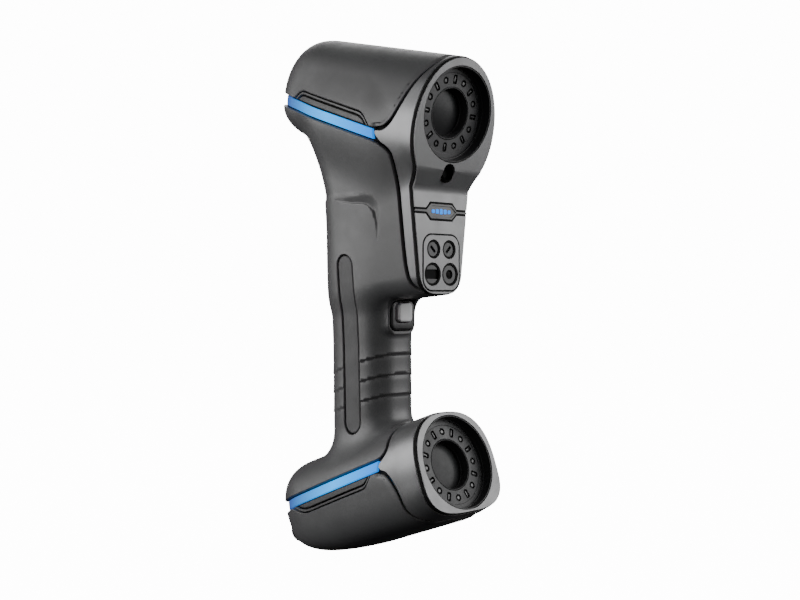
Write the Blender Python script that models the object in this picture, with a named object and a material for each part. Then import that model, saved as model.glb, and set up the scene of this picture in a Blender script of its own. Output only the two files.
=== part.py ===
"""Handheld 3D scanner: two tilted cameras on a C-shaped body, a laser chin and a trigger grip.

Frame: +Z up, the cameras look along -Y, symmetric about X = 0, origin at the middle of the grip.
Every size is in millimetres and becomes metres when a mesh is made.
"""
import bpy
import bmesh
import numpy as np
from math import ceil, cos, pi, radians, sin, tan
from mathutils import Matrix, Vector

MM = 0.001

# ---- driving dimensions, mm -------------------------------------------------------------------
GAP = 0.35                     # clearance between pieces that touch
WALL = 2.2                     # moulded shell
CELL = 9.4                     # facet size of the shells
SEAM = 0.7                     # half of the open seam between two shells
FACE_Y = -67.9                 # both lens faces cross this plane at their lens axis
PANEL_Y = -55.0                # front of the laser chin
FOLD_TOP, FOLD_LOW = 98.3, 88.0   # heights where the head face folds back to the chin
PLATE = 1.6                    # front plates
STRIP_HALF = 3.1               # half height of a light strip, measured along Z
STRIP_SINK = 1.0
PAD_SINK = 0.5
VENT_NEAR, VENT_FAR = 5.2, 10.2   # heights of a vent from its strip's centre line
OPENING_R = 26.8               # opening of a lens unit
LED_CIRCLE_R, LED_DEPTH = 18.8, 6.2
LENS_BORE_R = 14.5
BADGE_Z = 75.8                 # split between head face and chin plate
BADGE_HALF_W, BADGE_FLAT, BADGE_HALF_H, BADGE_BAR = 12.9, 8.5, 4.1, 0.55
SENSOR_Z, SENSOR_R = 97.5, 4.4  # small sensor below the head's lens
LASER_Z, LASER_HALF_W, LASER_HALF_H = 47.2, 14.3, 15.3
TRIGGER_Z, TRIGGER_W, TRIGGER_H = 19.0, 10.6, 10.9
TRIGGER_FRONT = -27.2
TRIGGER_TRAVEL = 2.2
KEY_R, KEY_TRAVEL, KEY_STEM = 4.4, 1.0, 5.0
KEY_ROWS = {"rear_key_up": 75.0, "rear_key_main": 62.0, "rear_key_down": 49.0}
SPINE_HALF_W = 8.0
SPINE_FRONT, SPINE_REAR = 2.0, 12.0
BOARD_X, BOARD_THICK = 8.5, 1.6
SOCKET_UP, SOCKET_R, SOCKET_LENGTH = -9.0, 7.0, 13.0


class Tilted:
    """The frame of a camera unit: its face plane, tilted about X at the lens centre."""

    def __init__(self, lens_z, down):
        self.z, self.down = lens_z, down
        self.matrix = Matrix(((1, 0, 0, 0), (0, -sin(down), -cos(down), FACE_Y),
                              (0, cos(down), -sin(down), lens_z), (0, 0, 0, 1)))

    def along_up(self, y, z):
        """Distance behind the face plane and height in it."""
        c, s = cos(self.down), sin(self.down)
        return (y - FACE_Y) * c + (z - self.z) * s, (z - self.z) * c - (y - FACE_Y) * s

    def point(self, up, depth):
        """(y, z) of a point `up` in the face plane and `depth` behind it."""
        c, s = cos(self.down), sin(self.down)
        return FACE_Y + depth * c - up * s, self.z + depth * s + up * c


HEAD = Tilted(128.7, radians(12.5))
BASE = Tilted(-63.1, radians(-19.6))


# ---- outer shape, a smooth field that is negative inside --------------------------------------
def smooth_min(a, b, k):
    h = np.maximum(k - np.abs(a - b), 0.0) / k
    return np.minimum(a, b) - h * h * k / 4


def ramp(t, low, high):
    t = np.clip((t - low) / (high - low), 0.0, 1.0)
    return t * t * (3 - 2 * t)


def barrel(x, along, rise, width, top, bottom, powers, round_from, round_len):
    """Superelliptic barrel along its own axis, with a rounded rear end."""
    p_top, p_bottom, p_end = powers
    v = np.where(rise > 0, rise / top, -rise / bottom)
    p = np.where(rise > 0, p_top, p_bottom)
    cross = (np.abs(x / width) ** p + v ** p) ** (1 / p)
    end = np.maximum(along - round_from, 0.0) / round_len
    return ((cross ** p_end + end ** p_end) ** (1 / p_end) - 1) * 0.9 * np.minimum(width, bottom)


def head_field(x, y, z):
    along, up = HEAD.along_up(y, z)
    width = 32.3 + 0.8 * ramp(along, 0, 40) - 2.0 * ramp(along, 60, 130)
    top = 40.9 + 0.016 * np.clip(along, 0, 110)
    bottom = 36.0 - 16.0 * ramp(along, 10, 115)
    return barrel(x, along, up + 9.0, width, top, bottom, (2.05, 2.1, 2.9), 97.6 + 0.15 * up, 34.5)


def base_field(x, y, z):
    along, up = BASE.along_up(y, z)
    grow = ramp(along, 0, 18)
    width = 31.3 + 0.9 * grow - 2.0 * ramp(along, 60, 130)
    bottom = 22.4 + 2.6 * grow - 6.0 * ramp(along, 75, 140)
    return barrel(x, along, up + 6.0, width, 35.3, bottom, (2.6, 3.2, 2.4), 103.4 + 0.17 * up, 34.0)


def grip_field(x, y, z):
    lean = 0.02 * (z + 35) + 2.0 * ramp(z, 20, 110)
    mid, semi = 1.4 + lean / 2, 24.0 + lean / 2
    width = 18.8 + 0.035 * np.maximum(z, 0)
    side = ((np.abs(x / width) ** 2.6 + np.abs((y - mid) / semi) ** 2.6) ** (1 / 2.6) - 1) * width
    side = side + 2.6 * ramp(z, 34, 80)
    return np.maximum(side, np.maximum(-82 - 0.36 * y - z, z - 80))


def neck_field(x, y, z):
    width = 17.6 + 0.118 * (z - 43) + 2.6 * ramp(y, -62, -15)
    rear = 2.2 + 0.012 * z + 5.0 * ramp(z, 85, 115)
    end = np.maximum(y - rear, 0.0) / 24.0
    side = ((np.abs(x / width) ** 2.4 + end ** 2.4) ** (1 / 2.4) - 1) * width
    floor = 27.7 - 0.0875 * (y + 38) - z
    rounded = -smooth_min(-side, -floor, 11.0)
    return -smooth_min(-rounded, 142 + 0.222 * y - z, 24.0)


def body_field(x, y, z):
    lower = smooth_min(grip_field(x, y, z), base_field(x, y, z), 8.0)
    upper = smooth_min(head_field(x, y, z), neck_field(x, y, z), 4 + 12 * ramp(y, -60, -25))
    return smooth_min(lower, upper, 9.0)


def edge_of_body(point, direction, level=0.0, reach=60.0):
    """How far `point` can move along `direction` before it leaves the body."""
    near, far = 0.0, reach
    for _ in range(40):
        middle = (near + far) / 2
        inside = body_field(*(np.array(point) + middle * np.array(direction))) < level
        near, far = (middle, far) if inside else (near, middle)
    return near


# ---- side-view curves, (y, z) -------------------------------------------------------------------
def head_strip_z(y):
    return 130.3 + 0.354 * y


def base_strip_z(y):
    return -79.6 - 0.398 * y


HEAD_TOP_SEAM = [(-36.5, 120.7), (-41, 120.4), (-45.5, 122.4), (-50, 126.6), (-55, 133.6), (-60, 142),
                 (-64, 148.8), (-66.8, 153), (-68.9, 158), (-70.7, 166), (-73.4, 178)]
CHIN_SEAM = [(-38.5, 113.2), (-43.3, 109.3), (-45.3, 104.5), (-45.3, 92), (-45.2, 78), (-45.3, 62),
             (-45.6, 50), (-46.4, 42), (-48.3, 35.8), (-52, 32.3), (-57, 31.0), (-70, 30.5)]
BASE_TOP_SEAM = [(-38.6, -60.2), (-40.3, -56.2), (-38.8, -51.5), (-37.2, -47), (-38, -43), (-42, -39),
                 (-50, -34), (-64, -27)]
BASE_LOW_SEAM = [(-38, -68.3), (-42.5, -68.9), (-46.6, -71.5), (-50, -75), (-53, -78.6), (-55.3, -82.6),
                 (-58, -87.6), (-62, -91.5), (-68, -94), (-80, -97)]


def strip_edge(strip_z, side, seam):
    """A shell's edge: along its light strip from the rear, then along `seam` to the front."""
    offset = side * (STRIP_HALF + 0.1)
    return [(y, strip_z(y) + offset) for y in (90, 60, 30, 0, -30)] + seam


COVER_CURVE = strip_edge(head_strip_z, 1, HEAD_TOP_SEAM)
NECK_CURVE = strip_edge(head_strip_z, -1, [(-34.5, 114.6)] + CHIN_SEAM)
HEAD_FRAME_CURVE = HEAD_TOP_SEAM[::-1] + [(-35.2, 118.2)] + CHIN_SEAM
GRIP_CURVE = strip_edge(base_strip_z, 1, [(-35.5, -62.2)] + BASE_TOP_SEAM)
BASE_FRAME_CURVE = BASE_TOP_SEAM[::-1] + [(-35.2, -65.6)] + BASE_LOW_SEAM
BASE_COVER_CURVE = strip_edge(base_strip_z, -1, BASE_LOW_SEAM)


def smooth_curve(points, steps=6):
    """Catmull-Rom curve through the points."""
    p = np.array([points[0]] + list(points) + [points[-1]], float)
    t = np.linspace(0, 1, steps, endpoint=False)[:, None]
    spans = [0.5 * (2 * b + (c - a) * t + (2 * a - 5 * b + 4 * c - d) * t ** 2
                    + (3 * b - a - 3 * c + d) * t ** 3)
             for a, b, c, d in zip(p, p[1:], p[2:], p[3:])]
    return np.vstack(spans + [p[-1:]])


def side_distance(points, smooth=True):
    """Signed distance from a curve in the side view, positive on its left."""
    line = smooth_curve(points) if smooth else np.array(points, float)
    start, step = line[:-1], np.diff(line, axis=0)

    def distance(x, y, z):
        rel = np.stack([y, z], -1)[:, None, :] - start
        t = np.clip((rel * step).sum(-1) / (step ** 2).sum(-1), 0, 1)
        off = rel - t[..., None] * step
        length = np.sqrt((off ** 2).sum(-1))
        nearest = length.argmin(1)
        pick = np.arange(len(length)), nearest
        side = step[nearest, 0] * off[pick][:, 1] - step[nearest, 1] * off[pick][:, 0]
        return np.copysign(length[pick], side)
    return distance


def behind_face(setback):
    """Distance behind the two lens faces, the fold and the chin panel."""
    fold = [HEAD.point(60, 0), (FACE_Y + (HEAD.z - FOLD_TOP) * tan(HEAD.down), FOLD_TOP),
            (PANEL_Y, FOLD_LOW), (PANEL_Y, 0), BASE.point(60, 0), BASE.point(-60, 0)]
    distance = side_distance(fold, smooth=False)
    return lambda x, y, z: distance(x, y, z) - setback


# ---- meshes -----------------------------------------------------------------------------------
def surface_net(field, low, high, cell):
    """Quads over the zero surface of a field: one vertex in each grid cell that it crosses."""
    axes = [a + cell * np.arange(ceil((b - a) / cell) + 1) for a, b in zip(low, high)]
    grid = np.stack(np.meshgrid(*axes, indexing="ij"), -1)
    value = field(grid[..., 0], grid[..., 1], grid[..., 2])
    cells = [n - 1 for n in value.shape]
    total, hits = np.zeros(cells + [3]), np.zeros(cells)

    def corner(array, shift):
        return array[tuple(slice(s, s + n) for s, n in zip(shift, cells))]

    for start in np.ndindex(2, 2, 2):
        for axis in range(3):
            if start[axis]:
                continue
            end = tuple(1 if i == axis else s for i, s in enumerate(start))
            a, b = corner(value, start), corner(value, end)
            crosses = (a < 0) != (b < 0)
            t = np.where(crosses, a / np.where(crosses, a - b, 1), 0)[..., None]
            point = corner(grid, start) * (1 - t) + corner(grid, end) * t
            total += np.where(crosses[..., None], point, 0)
            hits += crosses
    used = hits > 0
    number = np.full(used.shape, -1)
    number[used] = np.arange(used.sum())
    quads = []
    for axis in range(3):
        u, v = (axis + 1) % 3, (axis + 2) % 3
        here = [slice(1, -1)] * 3
        there = list(here)
        here[axis], there[axis] = slice(0, -1), slice(1, None)
        inside, beyond = value[tuple(here)] < 0, value[tuple(there)] < 0
        for found, turn in ((inside & ~beyond, 1), (beyond & ~inside, -1)):
            place = np.argwhere(found)
            ring = []
            for du, dv in ((0, 0), (1, 0), (1, 1), (0, 1)):
                at = place.copy()
                at[:, u] += du
                at[:, v] += dv
                ring.append(number[tuple(at.T)])
            quads.append(np.stack(ring[::turn], 1))
    return total[used] / hits[used][:, None], np.vstack(quads)


def settle(field, points, rounds=4):
    """Move points along the field's gradient onto its zero surface."""
    for _ in range(rounds):
        slope = slope_of(field, points)
        step = field(*points.T)[:, None] * slope / (slope ** 2).sum(1)[:, None]
        points = points - np.clip(step, -1, 1)
    return points


def body_surface(level, cell):
    """The body's surface, `level` mm inside its outside, open at the front."""
    field = lambda x, y, z: body_field(x, y, z) + level
    low, high = (-(ceil(36 / cell) + 0.5) * cell, -86.0, -140.0), (40.0, 72.0, 196.0)
    points, quads = surface_net(field, low, high, cell)
    points = settle(field, points)
    bm = bmesh.new()
    verts = [bm.verts.new(p) for p in points]
    for quad in quads:
        bm.faces.new([verts[i] for i in quad])
    return bm


def coordinates(verts):
    return np.array([v.co for v in verts])


def slope_of(field, points):
    """Gradient of a field at some points."""
    steps = np.eye(3) * 0.05
    return np.stack([field(*(points + d).T) - field(*(points - d).T) for d in steps], 1) / 0.1


def slide_onto(verts, distance, value):
    """Slide vertices that are near the cut along the surface, onto it."""
    points, normal = coordinates(verts), np.array([v.normal for v in verts])
    slope = slope_of(distance, points)
    slope -= (slope * normal).sum(1)[:, None] * normal
    steep = (slope ** 2).sum(1)
    for vert, step, size in zip(verts, slope * (-value / np.maximum(steep, 1e-9))[:, None], steep):
        if size > 0.3:
            vert.co += Vector(step)
            vert.select = True


def split(bm, distance):
    """Cut the mesh's faces along distance = 0. Vertices on a cut are marked by their selection."""
    bmesh.ops.triangulate(bm, faces=bm.faces)
    bm.normal_update()
    bm.verts.index_update()
    value = distance(*coordinates(bm.verts).T)
    near = [v for v in bm.verts if abs(value[v.index]) < 0.22 * CELL and not v.select]
    if near:
        slide_onto(near, distance, value[[v.index for v in near]])
        value = distance(*coordinates(bm.verts).T)
        value[[v.index for v in near if v.select]] = 0.0
    value[np.abs(value) < 0.05] = 0.0
    on_cut = {v for v in bm.verts if value[v.index] == 0}
    for edge in list(bm.edges):
        a, b = (value[v.index] for v in edge.verts)
        if a * b < 0:
            on_cut.add(bmesh.utils.edge_split(edge, edge.verts[0], a / (a - b))[1])
    for face in list(bm.faces):
        marked = [v for v in face.verts if v in on_cut]
        if len(marked) == 2 and not bm.edges.get(marked):
            bmesh.utils.face_split(face, *marked)
    for vert in on_cut:
        vert.select = True


def refine(bm, distance, level):
    """Halve the facets near a tight curve."""
    faces = list(bm.faces)
    near = np.abs(distance(*np.array([f.calc_center_median() for f in faces]).T)) < 0.8 * CELL
    edges = {edge for face, close in zip(faces, near) if close for edge in face.edges}
    made = bmesh.ops.subdivide_edges(bm, edges=list(edges), cuts=1, use_grid_fill=True)["geom_inner"]
    verts = [v for v in made if isinstance(v, bmesh.types.BMVert)]
    field = lambda x, y, z: body_field(x, y, z) + level
    for vert, point in zip(verts, settle(field, coordinates(verts))):
        vert.co = point


def keep_where(bm, *distances):
    """Keep the faces whose middle is on the positive side of every distance."""
    faces = list(bm.faces)
    middle = np.array([f.calc_center_median() for f in faces])
    kept = np.min([d(*middle.T) for d in distances], axis=0) > 0
    bmesh.ops.delete(bm, geom=[f for f, k in zip(faces, kept) if not k], context="FACES")


def drop_where(bm, *distances):
    """Remove the faces whose middle is on the positive side of every distance."""
    keep_where(bm, lambda x, y, z: -np.min([d(x, y, z) for d in distances], axis=0))


# ---- objects ----------------------------------------------------------------------------------
COLOURS = {
    "shell": ((0.085, 0.085, 0.088), 0.45, 0.0),
    "frame": ((0.26, 0.26, 0.265), 0.35, 0.6),
    "plate": ((0.24, 0.24, 0.245), 0.45, 0.3),
    "grip": ((0.05, 0.05, 0.052), 0.8, 0.0),
    "light": ((0.12, 0.38, 0.85), 0.35, 0.0),
    "dark": ((0.02, 0.02, 0.022), 0.5, 0.0),
    "trigger": ((0.37, 0.37, 0.38), 0.5, 0.0),
    "glass": ((0.01, 0.011, 0.013), 0.05, 0.0),
    "board": ((0.01, 0.12, 0.06), 0.6, 0.0),
    "alloy": ((0.55, 0.56, 0.58), 0.35, 1.0),
    "steel": ((0.6, 0.6, 0.62), 0.3, 1.0),
}


def material(name, finish):
    colour, rough, metal = COLOURS[finish]
    made = bpy.data.materials.new(name)
    made.use_nodes = True
    shader = made.node_tree.nodes["Principled BSDF"]
    shader.inputs["Base Color"].default_value = (*colour, 1)
    shader.inputs["Roughness"].default_value = rough
    shader.inputs["Metallic"].default_value = metal
    return made


def add(name, bm, finish, matrix=None, smooth=40):
    """An object from a mesh in millimetres, with `matrix` placing it (translation in mm)."""
    bmesh.ops.scale(bm, vec=(MM, MM, MM), verts=bm.verts)
    mesh = bpy.data.meshes.new(name)
    bm.to_mesh(mesh)
    bm.free()
    mesh.shade_smooth()
    mesh.set_sharp_from_angle(angle=radians(smooth))
    mesh.materials.append(material(name, finish))
    obj = bpy.data.objects.new(name, mesh)
    bpy.context.collection.objects.link(obj)
    if matrix is not None:
        placed = matrix.copy()
        placed.translation *= MM
        obj.matrix_world = placed
    return obj


def cut(obj, cutter):
    """Subtract a cutter, which stays as a hidden guide."""
    cutter.hide_render = True
    cutter.display_type = "WIRE"
    boolean = obj.modifiers.new("cut_" + cutter.name, "BOOLEAN")
    boolean.operation = "DIFFERENCE"
    boolean.solver = "EXACT"
    boolean.object = cutter


def shell(name, finish, level, bounds, holes=(), wall=WALL, only=(), cell=CELL, tight=()):
    """A patch of the body's surface inside `bounds` and outside each of `holes`, thickened inward."""
    bm = body_surface(level, cell)
    for distance in tight:
        refine(bm, distance, level)
    for distance in [*bounds, *(edge for hole in holes for edge in hole)]:
        split(bm, distance)
    keep_where(bm, *bounds, *only)
    for hole in holes:
        drop_where(bm, *hole)
    obj = add(name, bm, finish)
    solid = obj.modifiers.new("wall", "SOLIDIFY")
    solid.thickness = wall * MM
    solid.offset = -1
    return obj


PHASE = 0.3   # turns every round piece a little, so that no two pieces' edges line up exactly


def turned(name, finish, matrix, profile, sides=24):
    """A closed (radius, height) profile turned about the local Z axis."""
    bm = bmesh.new()
    rings = []
    for radius, height in profile:
        if radius == 0:
            rings.append([bm.verts.new((0, 0, height))])
        else:
            turn = [2 * pi * (i + PHASE) / sides for i in range(sides)]
            rings.append([bm.verts.new((radius * cos(a), radius * sin(a), height)) for a in turn])
    hollow = all(radius for radius, _ in profile)
    pairs = list(zip(rings, rings[1:])) + ([(rings[-1], rings[0])] if hollow else [])
    for low, high in pairs:
        for i in range(sides):
            j = (i + 1) % sides
            corners = [low[i % len(low)], low[j % len(low)], high[j % len(high)], high[i % len(high)]]
            bm.faces.new(list(dict.fromkeys(corners)))
    bmesh.ops.recalc_face_normals(bm, faces=bm.faces)
    return add(name, bm, finish, matrix)


def prism(name, finish, matrix, outline, low, high):
    """A flat outline extruded along the local Z axis from `low` to `high`."""
    bm = bmesh.new()
    face = bm.faces.new([bm.verts.new((x, y, low)) for x, y in outline])
    raised = bmesh.ops.extrude_face_region(bm, geom=[face])["geom"]
    top = [v for v in raised if isinstance(v, bmesh.types.BMVert)]
    bmesh.ops.translate(bm, vec=(0, 0, high - low), verts=top)
    bmesh.ops.recalc_face_normals(bm, faces=bm.faces)
    return add(name, bm, finish, matrix)


def rounded(half_w, half_h, radius, steps=4, centre=(0, 0)):
    """A rectangle with round corners, anticlockwise."""
    corners = ((1, 1, 0), (-1, 1, 1), (-1, -1, 2), (1, -1, 3))
    return [(centre[0] + sx * (half_w - radius) + radius * cos((q + i / steps) * pi / 2),
             centre[1] + sy * (half_h - radius) + radius * sin((q + i / steps) * pi / 2))
            for sx, sy, q in corners for i in range(steps + 1)]


def circle(radius, sides=24, centre=(0, 0)):
    return [(centre[0] + radius * cos(2 * pi * i / sides), centre[1] + radius * sin(2 * pi * i / sides))
            for i in range(sides)]


def facing(y, z=0.0, x=0.0):
    """A frame on the front, local Z towards -Y and local Y up."""
    return Matrix(((1, 0, 0, x), (0, 0, -1, y), (0, 1, 0, z), (0, 0, 0, 1)))


def facing_rear(y, z=0.0, x=0.0):
    """A frame on the rear, local Z towards +Y and local Y up."""
    return Matrix(((-1, 0, 0, x), (0, 0, 1, y), (0, 1, 0, z), (0, 0, 0, 1)))


def sideways(x=0.0):
    """A frame whose local X, Y and Z are the model's Y, Z and X."""
    return Matrix(((0, 0, 1, x), (1, 0, 0, 0), (0, 1, 0, 0), (0, 0, 0, 1)))


# ---- shells -----------------------------------------------------------------------------------
def offset(distance, by, sign=1):
    return lambda x, y, z: sign * distance(x, y, z) - by


def band(strip_z, low, high, front, rear):
    """Four distances that bound a slanted band of the sides, from `front` to `rear`."""
    lean = 0.8
    return [lambda x, y, z: z - strip_z(y) - low, lambda x, y, z: strip_z(y) + high - z,
            lambda x, y, z: y - front - lean * np.abs(z - strip_z(y) - low),
            lambda x, y, z: rear - y - lean * np.abs(z - strip_z(y) - low)]


def pad_distance(inset):
    """Inside distance of a grip pad's outline, a slightly leaning pill seen from the side."""
    low, high, radius = np.array((-1.2, -45.4)), np.array((1.4, 46.0)), 6.5
    axis = high - low

    def distance(x, y, z):
        rel = np.stack([y, z], -1) - low
        t = np.clip(rel @ axis / (axis @ axis), 0, 1)
        return radius - inset - np.sqrt(((rel - t[:, None] * axis) ** 2).sum(-1))
    return distance


def keypad_distance(inset):
    """Inside distance of the rear keypad's outline, a pill seen from behind."""
    top, low, radius = max(KEY_ROWS.values()), min(KEY_ROWS.values()), 8.6

    def distance(x, y, z):
        over = z - np.clip(z, low, top)
        return np.where(y > 10, radius - inset - np.sqrt(x ** 2 + over ** 2), -50.0)
    return distance


def on_side(sign):
    return lambda x, y, z: sign * x - 2.0


def vents(strip_z, side):
    low, high = sorted((side * VENT_NEAR, side * VENT_FAR))
    front, rear = (-31.0, 33.0) if side > 0 else (-27.0, 29.0)
    return lambda grow: band(strip_z, low - grow, high + grow, front - grow, rear + grow)


HEAD_VENT, BASE_VENT = vents(head_strip_z, 1), vents(base_strip_z, -1)


def make_shells():
    front = behind_face(PLATE + 0.5)
    cover = offset(side_distance(COVER_CURVE), SEAM, -1)
    shell("head_top_cover", "shell", 0, [cover, front], [HEAD_VENT(0.5)])
    neck = offset(side_distance(NECK_CURVE), SEAM)
    grip = offset(side_distance(GRIP_CURVE), SEAM, -1)
    holes = [[pad_distance(-0.4)], [keypad_distance(-0.6)]]
    tight = [pad_distance(0), keypad_distance(0)]
    main = shell("main_shell", "shell", 0, [neck, grip, front], holes, tight=tight)
    below = offset(side_distance(BASE_COVER_CURVE), SEAM)
    shell("base_bottom_cover", "shell", 0, [below, front], [BASE_VENT(0.5)])
    head_frame = offset(side_distance(HEAD_FRAME_CURVE), SEAM, -1)
    shell("head_front_frame", "frame", 0, [head_frame, front])
    base_frame = offset(side_distance(BASE_FRAME_CURVE), SEAM, -1)
    shell("base_front_frame", "frame", 0, [base_frame, front])
    return main


def make_strips():
    """The two light strips, each one piece round the rear of its housing."""
    front = -33.8
    for name, strip_z in (("head_light_strip", head_strip_z), ("base_light_strip", base_strip_z)):
        edges = [lambda x, y, z, s=strip_z: z - s(y) + STRIP_HALF - GAP,
                 lambda x, y, z, s=strip_z: s(y) + STRIP_HALF - GAP - z,
                 lambda x, y, z, f=front: y - f]
        shell(name, "light", STRIP_SINK, edges, wall=1.6)


def make_side_pieces():
    """Vent grilles and grip pads, one of each on either side."""
    for sign, side in ((-1, "left"), (1, "right")):
        one_side = on_side(sign)
        for name, vent in (("head_vent_" + side, HEAD_VENT), ("base_vent_" + side, BASE_VENT)):
            shell(name, "dark", 0.9, vent(-1.6), wall=1.4, only=[one_side], cell=6.0)
        shell("grip_pad_" + side, "grip", PAD_SINK, [pad_distance(0.8)], wall=2.0, only=[one_side],
              tight=[pad_distance(0)])


# ---- front plates -----------------------------------------------------------------------------
def sheet_y(z):
    """Front of the head face, fold and chin panel at height z."""
    face = FACE_Y + (HEAD.z - z) * tan(HEAD.down)
    low_face = FACE_Y + (HEAD.z - FOLD_TOP) * tan(HEAD.down)
    fold = PANEL_Y + (z - FOLD_LOW) / (FOLD_TOP - FOLD_LOW) * (low_face - PANEL_Y)
    return np.where(z > FOLD_TOP, face, np.where(z > FOLD_LOW, fold, PANEL_Y))


def eased(low, high, count, ease_low, ease_high):
    """Heights from low to high, closer together at the ends that are eased."""
    t = np.linspace(0, 1, count)
    if ease_low and ease_high:
        t = (1 - np.cos(pi * t)) / 2
    elif ease_low:
        t = 1 - np.cos(pi * t / 2)
    elif ease_high:
        t = np.sin(pi * t / 2)
    return low + (high - low) * t


def front_plate(name, finish, heights, y_of):
    """A bent plate as wide as the body at each height, facing forwards."""
    bm = bmesh.new()
    rows = []
    for z in heights:
        y = float(y_of(z))
        half = edge_of_body((0, y, z), (1, 0, 0), -0.25)
        xs = (-half, half) if half > 0.4 else (0.0,)
        rows.append([bm.verts.new((x, y, z)) for x in xs])
    for low, high in zip(rows, rows[1:]):
        bm.faces.new(low + high[::-1])
    obj = add(name, bm, finish)
    solid = obj.modifiers.new("thickness", "SOLIDIFY")
    solid.thickness = PLATE * MM
    solid.offset = -1
    solid.use_even_offset = True
    return obj


def badge_outline(grow, bars):
    """The badge's long hexagon, with its two thin side bars if `bars`."""
    w, f, h, b = BADGE_HALF_W + grow, BADGE_FLAT + grow / 2, BADGE_HALF_H + grow, BADGE_BAR
    if not bars:
        return [(w, 0), (f, h), (-f, h), (-w, 0), (-f, -h), (f, -h)]
    end = edge_of_body((0, PANEL_Y, BADGE_Z), (1, 0, 0), -0.35)
    meet = w - (w - f) * b / h
    upper = [(end, b), (meet, b), (f, h), (-f, h), (-meet, b), (-end, b)]
    return upper + [(-x, -z) for x, z in upper]


def face_end(frame, sign):
    """Height where a lens face meets the body's outside, above (1) or below (-1) its lens."""
    up = (0, -sign * sin(frame.down), sign * cos(frame.down))
    return frame.point(sign * edge_of_body((0, *frame.point(0, 0)), up, -0.25), 0)[1]


def make_front_plates():
    seam = BADGE_BAR + 0.7
    heights = [BADGE_Z + seam, 82.0, FOLD_LOW, 93.0]
    heights += [*eased(FOLD_TOP, face_end(HEAD, 1), 16, False, True)]
    head_plate = front_plate("head_face_plate", "plate", heights, sheet_y)
    cut(head_plate, plug("head_opening", HEAD.matrix, OPENING_R, 40))
    sensor_y = float(sheet_y(SENSOR_Z))
    cut(head_plate, plug("sensor_hole", facing(sensor_y, SENSOR_Z), SENSOR_R + 0.2, 20))
    turned("sensor_window", "glass", facing(sensor_y + 4.2, SENSOR_Z),
           [(0, -1.5), (SENSOR_R, -1.5), (SENSOR_R, 0), (0, 0)], 20)

    low = LASER_Z - edge_of_body((0, PANEL_Y, LASER_Z), (0, 0, -1), -0.25)
    heights = [*eased(low, 42.0, 8, True, False), 60.0, BADGE_Z - seam]
    chin = front_plate("chin_plate", "plate", heights, sheet_y)
    pocket = rounded(LASER_HALF_W + GAP, LASER_HALF_H + GAP, 6.5 + GAP)
    cut(chin, prism("laser_pocket", "dark", facing(PANEL_Y, LASER_Z), pocket, -6, 6))
    for plate in (head_plate, chin):
        hole = badge_outline(0.6, False)
        cut(plate, prism("badge_hole_" + plate.name, "dark", facing(PANEL_Y, BADGE_Z), hole, -6, 6))
    prism("status_badge", "plate", facing(PANEL_Y, BADGE_Z), badge_outline(0, True), -PLATE, 0.4)

    heights = eased(face_end(BASE, -1), face_end(BASE, 1), 26, True, True)
    base_y = lambda z: FACE_Y - (BASE.z - z) * tan(-BASE.down)
    base_plate = front_plate("base_face_plate", "plate", heights, base_y)
    cut(base_plate, plug("base_opening", BASE.matrix, OPENING_R, 40))


# ---- laser plate ------------------------------------------------------------------------------
# name: (x, z, radius) of each window on the laser plate
LASER_WINDOWS = {
    "laser_window_left": (-6.3, 54.7, 5.2),
    "laser_window_right": (6.3, 54.7, 5.2),
    "projector_window": (-7.1, 40.7, 6.4),
    "colour_camera_window": (7.1, 40.7, 6.4),
}


def make_laser_plate():
    outline = rounded(LASER_HALF_W, LASER_HALF_H, 6.5)
    plate = prism("laser_plate", "frame", facing(PANEL_Y, LASER_Z), outline, -PLATE, 0.2)
    for name, (x, z, radius) in LASER_WINDOWS.items():
        place = facing(PANEL_Y, z, x)
        cut(plate, plug(name + "_hole", place, radius + GAP, 24))
        turned(name, "glass", place, [(0, -1.8), (radius, -1.8), (radius, -0.4), (0, -0.4)], 24)
        barrel_r = radius - 1.2
        turned(name.replace("window", "module"), "alloy", place,
               [(0, -17), (barrel_r, -17), (barrel_r, -3.4), (radius, -3.4), (radius, -2.2), (0, -2.2)], 16)


# ---- camera units -----------------------------------------------------------------------------
def led_places(first_is_slot):
    """(angle, is_slot) of the sixteen openings, from twelve o'clock."""
    return [(pi / 2 + i * pi / 8, (i % 2 == 0) == first_is_slot) for i in range(16)]


def make_camera(unit, frame, first_is_slot):
    place = frame.matrix
    floor = -LED_DEPTH
    turned(unit + "_lens_cone", "dark", place,
           [(26.4, -0.4), (26.4, floor - 2.4), (23.0, floor - 2.4), (23.0, floor - 2.1),
            (25.0, floor - 2.1), (25.0, floor), (25.9, -0.4)], 28)
    ring = turned(unit + "_led_plate", "dark", place,
                  [(24.6, floor - 1.7), (24.6, floor), (15.0, floor), (15.0, floor - 1.7)], 28)
    for number, (angle, is_slot) in enumerate(led_places(first_is_slot)):
        outline = rounded(2.2, 0.9, 0.8, 1) if is_slot else circle(1.6, 6)
        at = place @ Matrix.Rotation(angle, 4, "Z") @ Matrix.Translation((LED_CIRCLE_R, 0, 0))
        cut(ring, prism(f"{unit}_led_hole_{number}", "dark", at, outline, floor - 4, floor + 3))
    turned(unit + "_led_board", "board", place,
           [(24.2, floor - 4.4), (24.2, floor - 2.8), (15.2, floor - 2.8), (15.2, floor - 4.4)])
    turned(unit + "_lens_barrel", "dark", place,
           [(LENS_BORE_R, -30), (LENS_BORE_R, floor - 0.6), (13.6, floor - 0.6), (13.3, -12.4),
            (11.4, -12.4), (11.4, -16), (13.0, -16), (13.0, -30)])
    turned(unit + "_lens_glass", "glass", place,
           [(0, -15), (11.0, -15), (11.0, -12.6), (6.4, -11.2), (0, -10.6)])
    prism(unit + "_camera_board", "board", place, rounded(13, 13, 1.5, 2), -32.2, -30.6)


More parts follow.
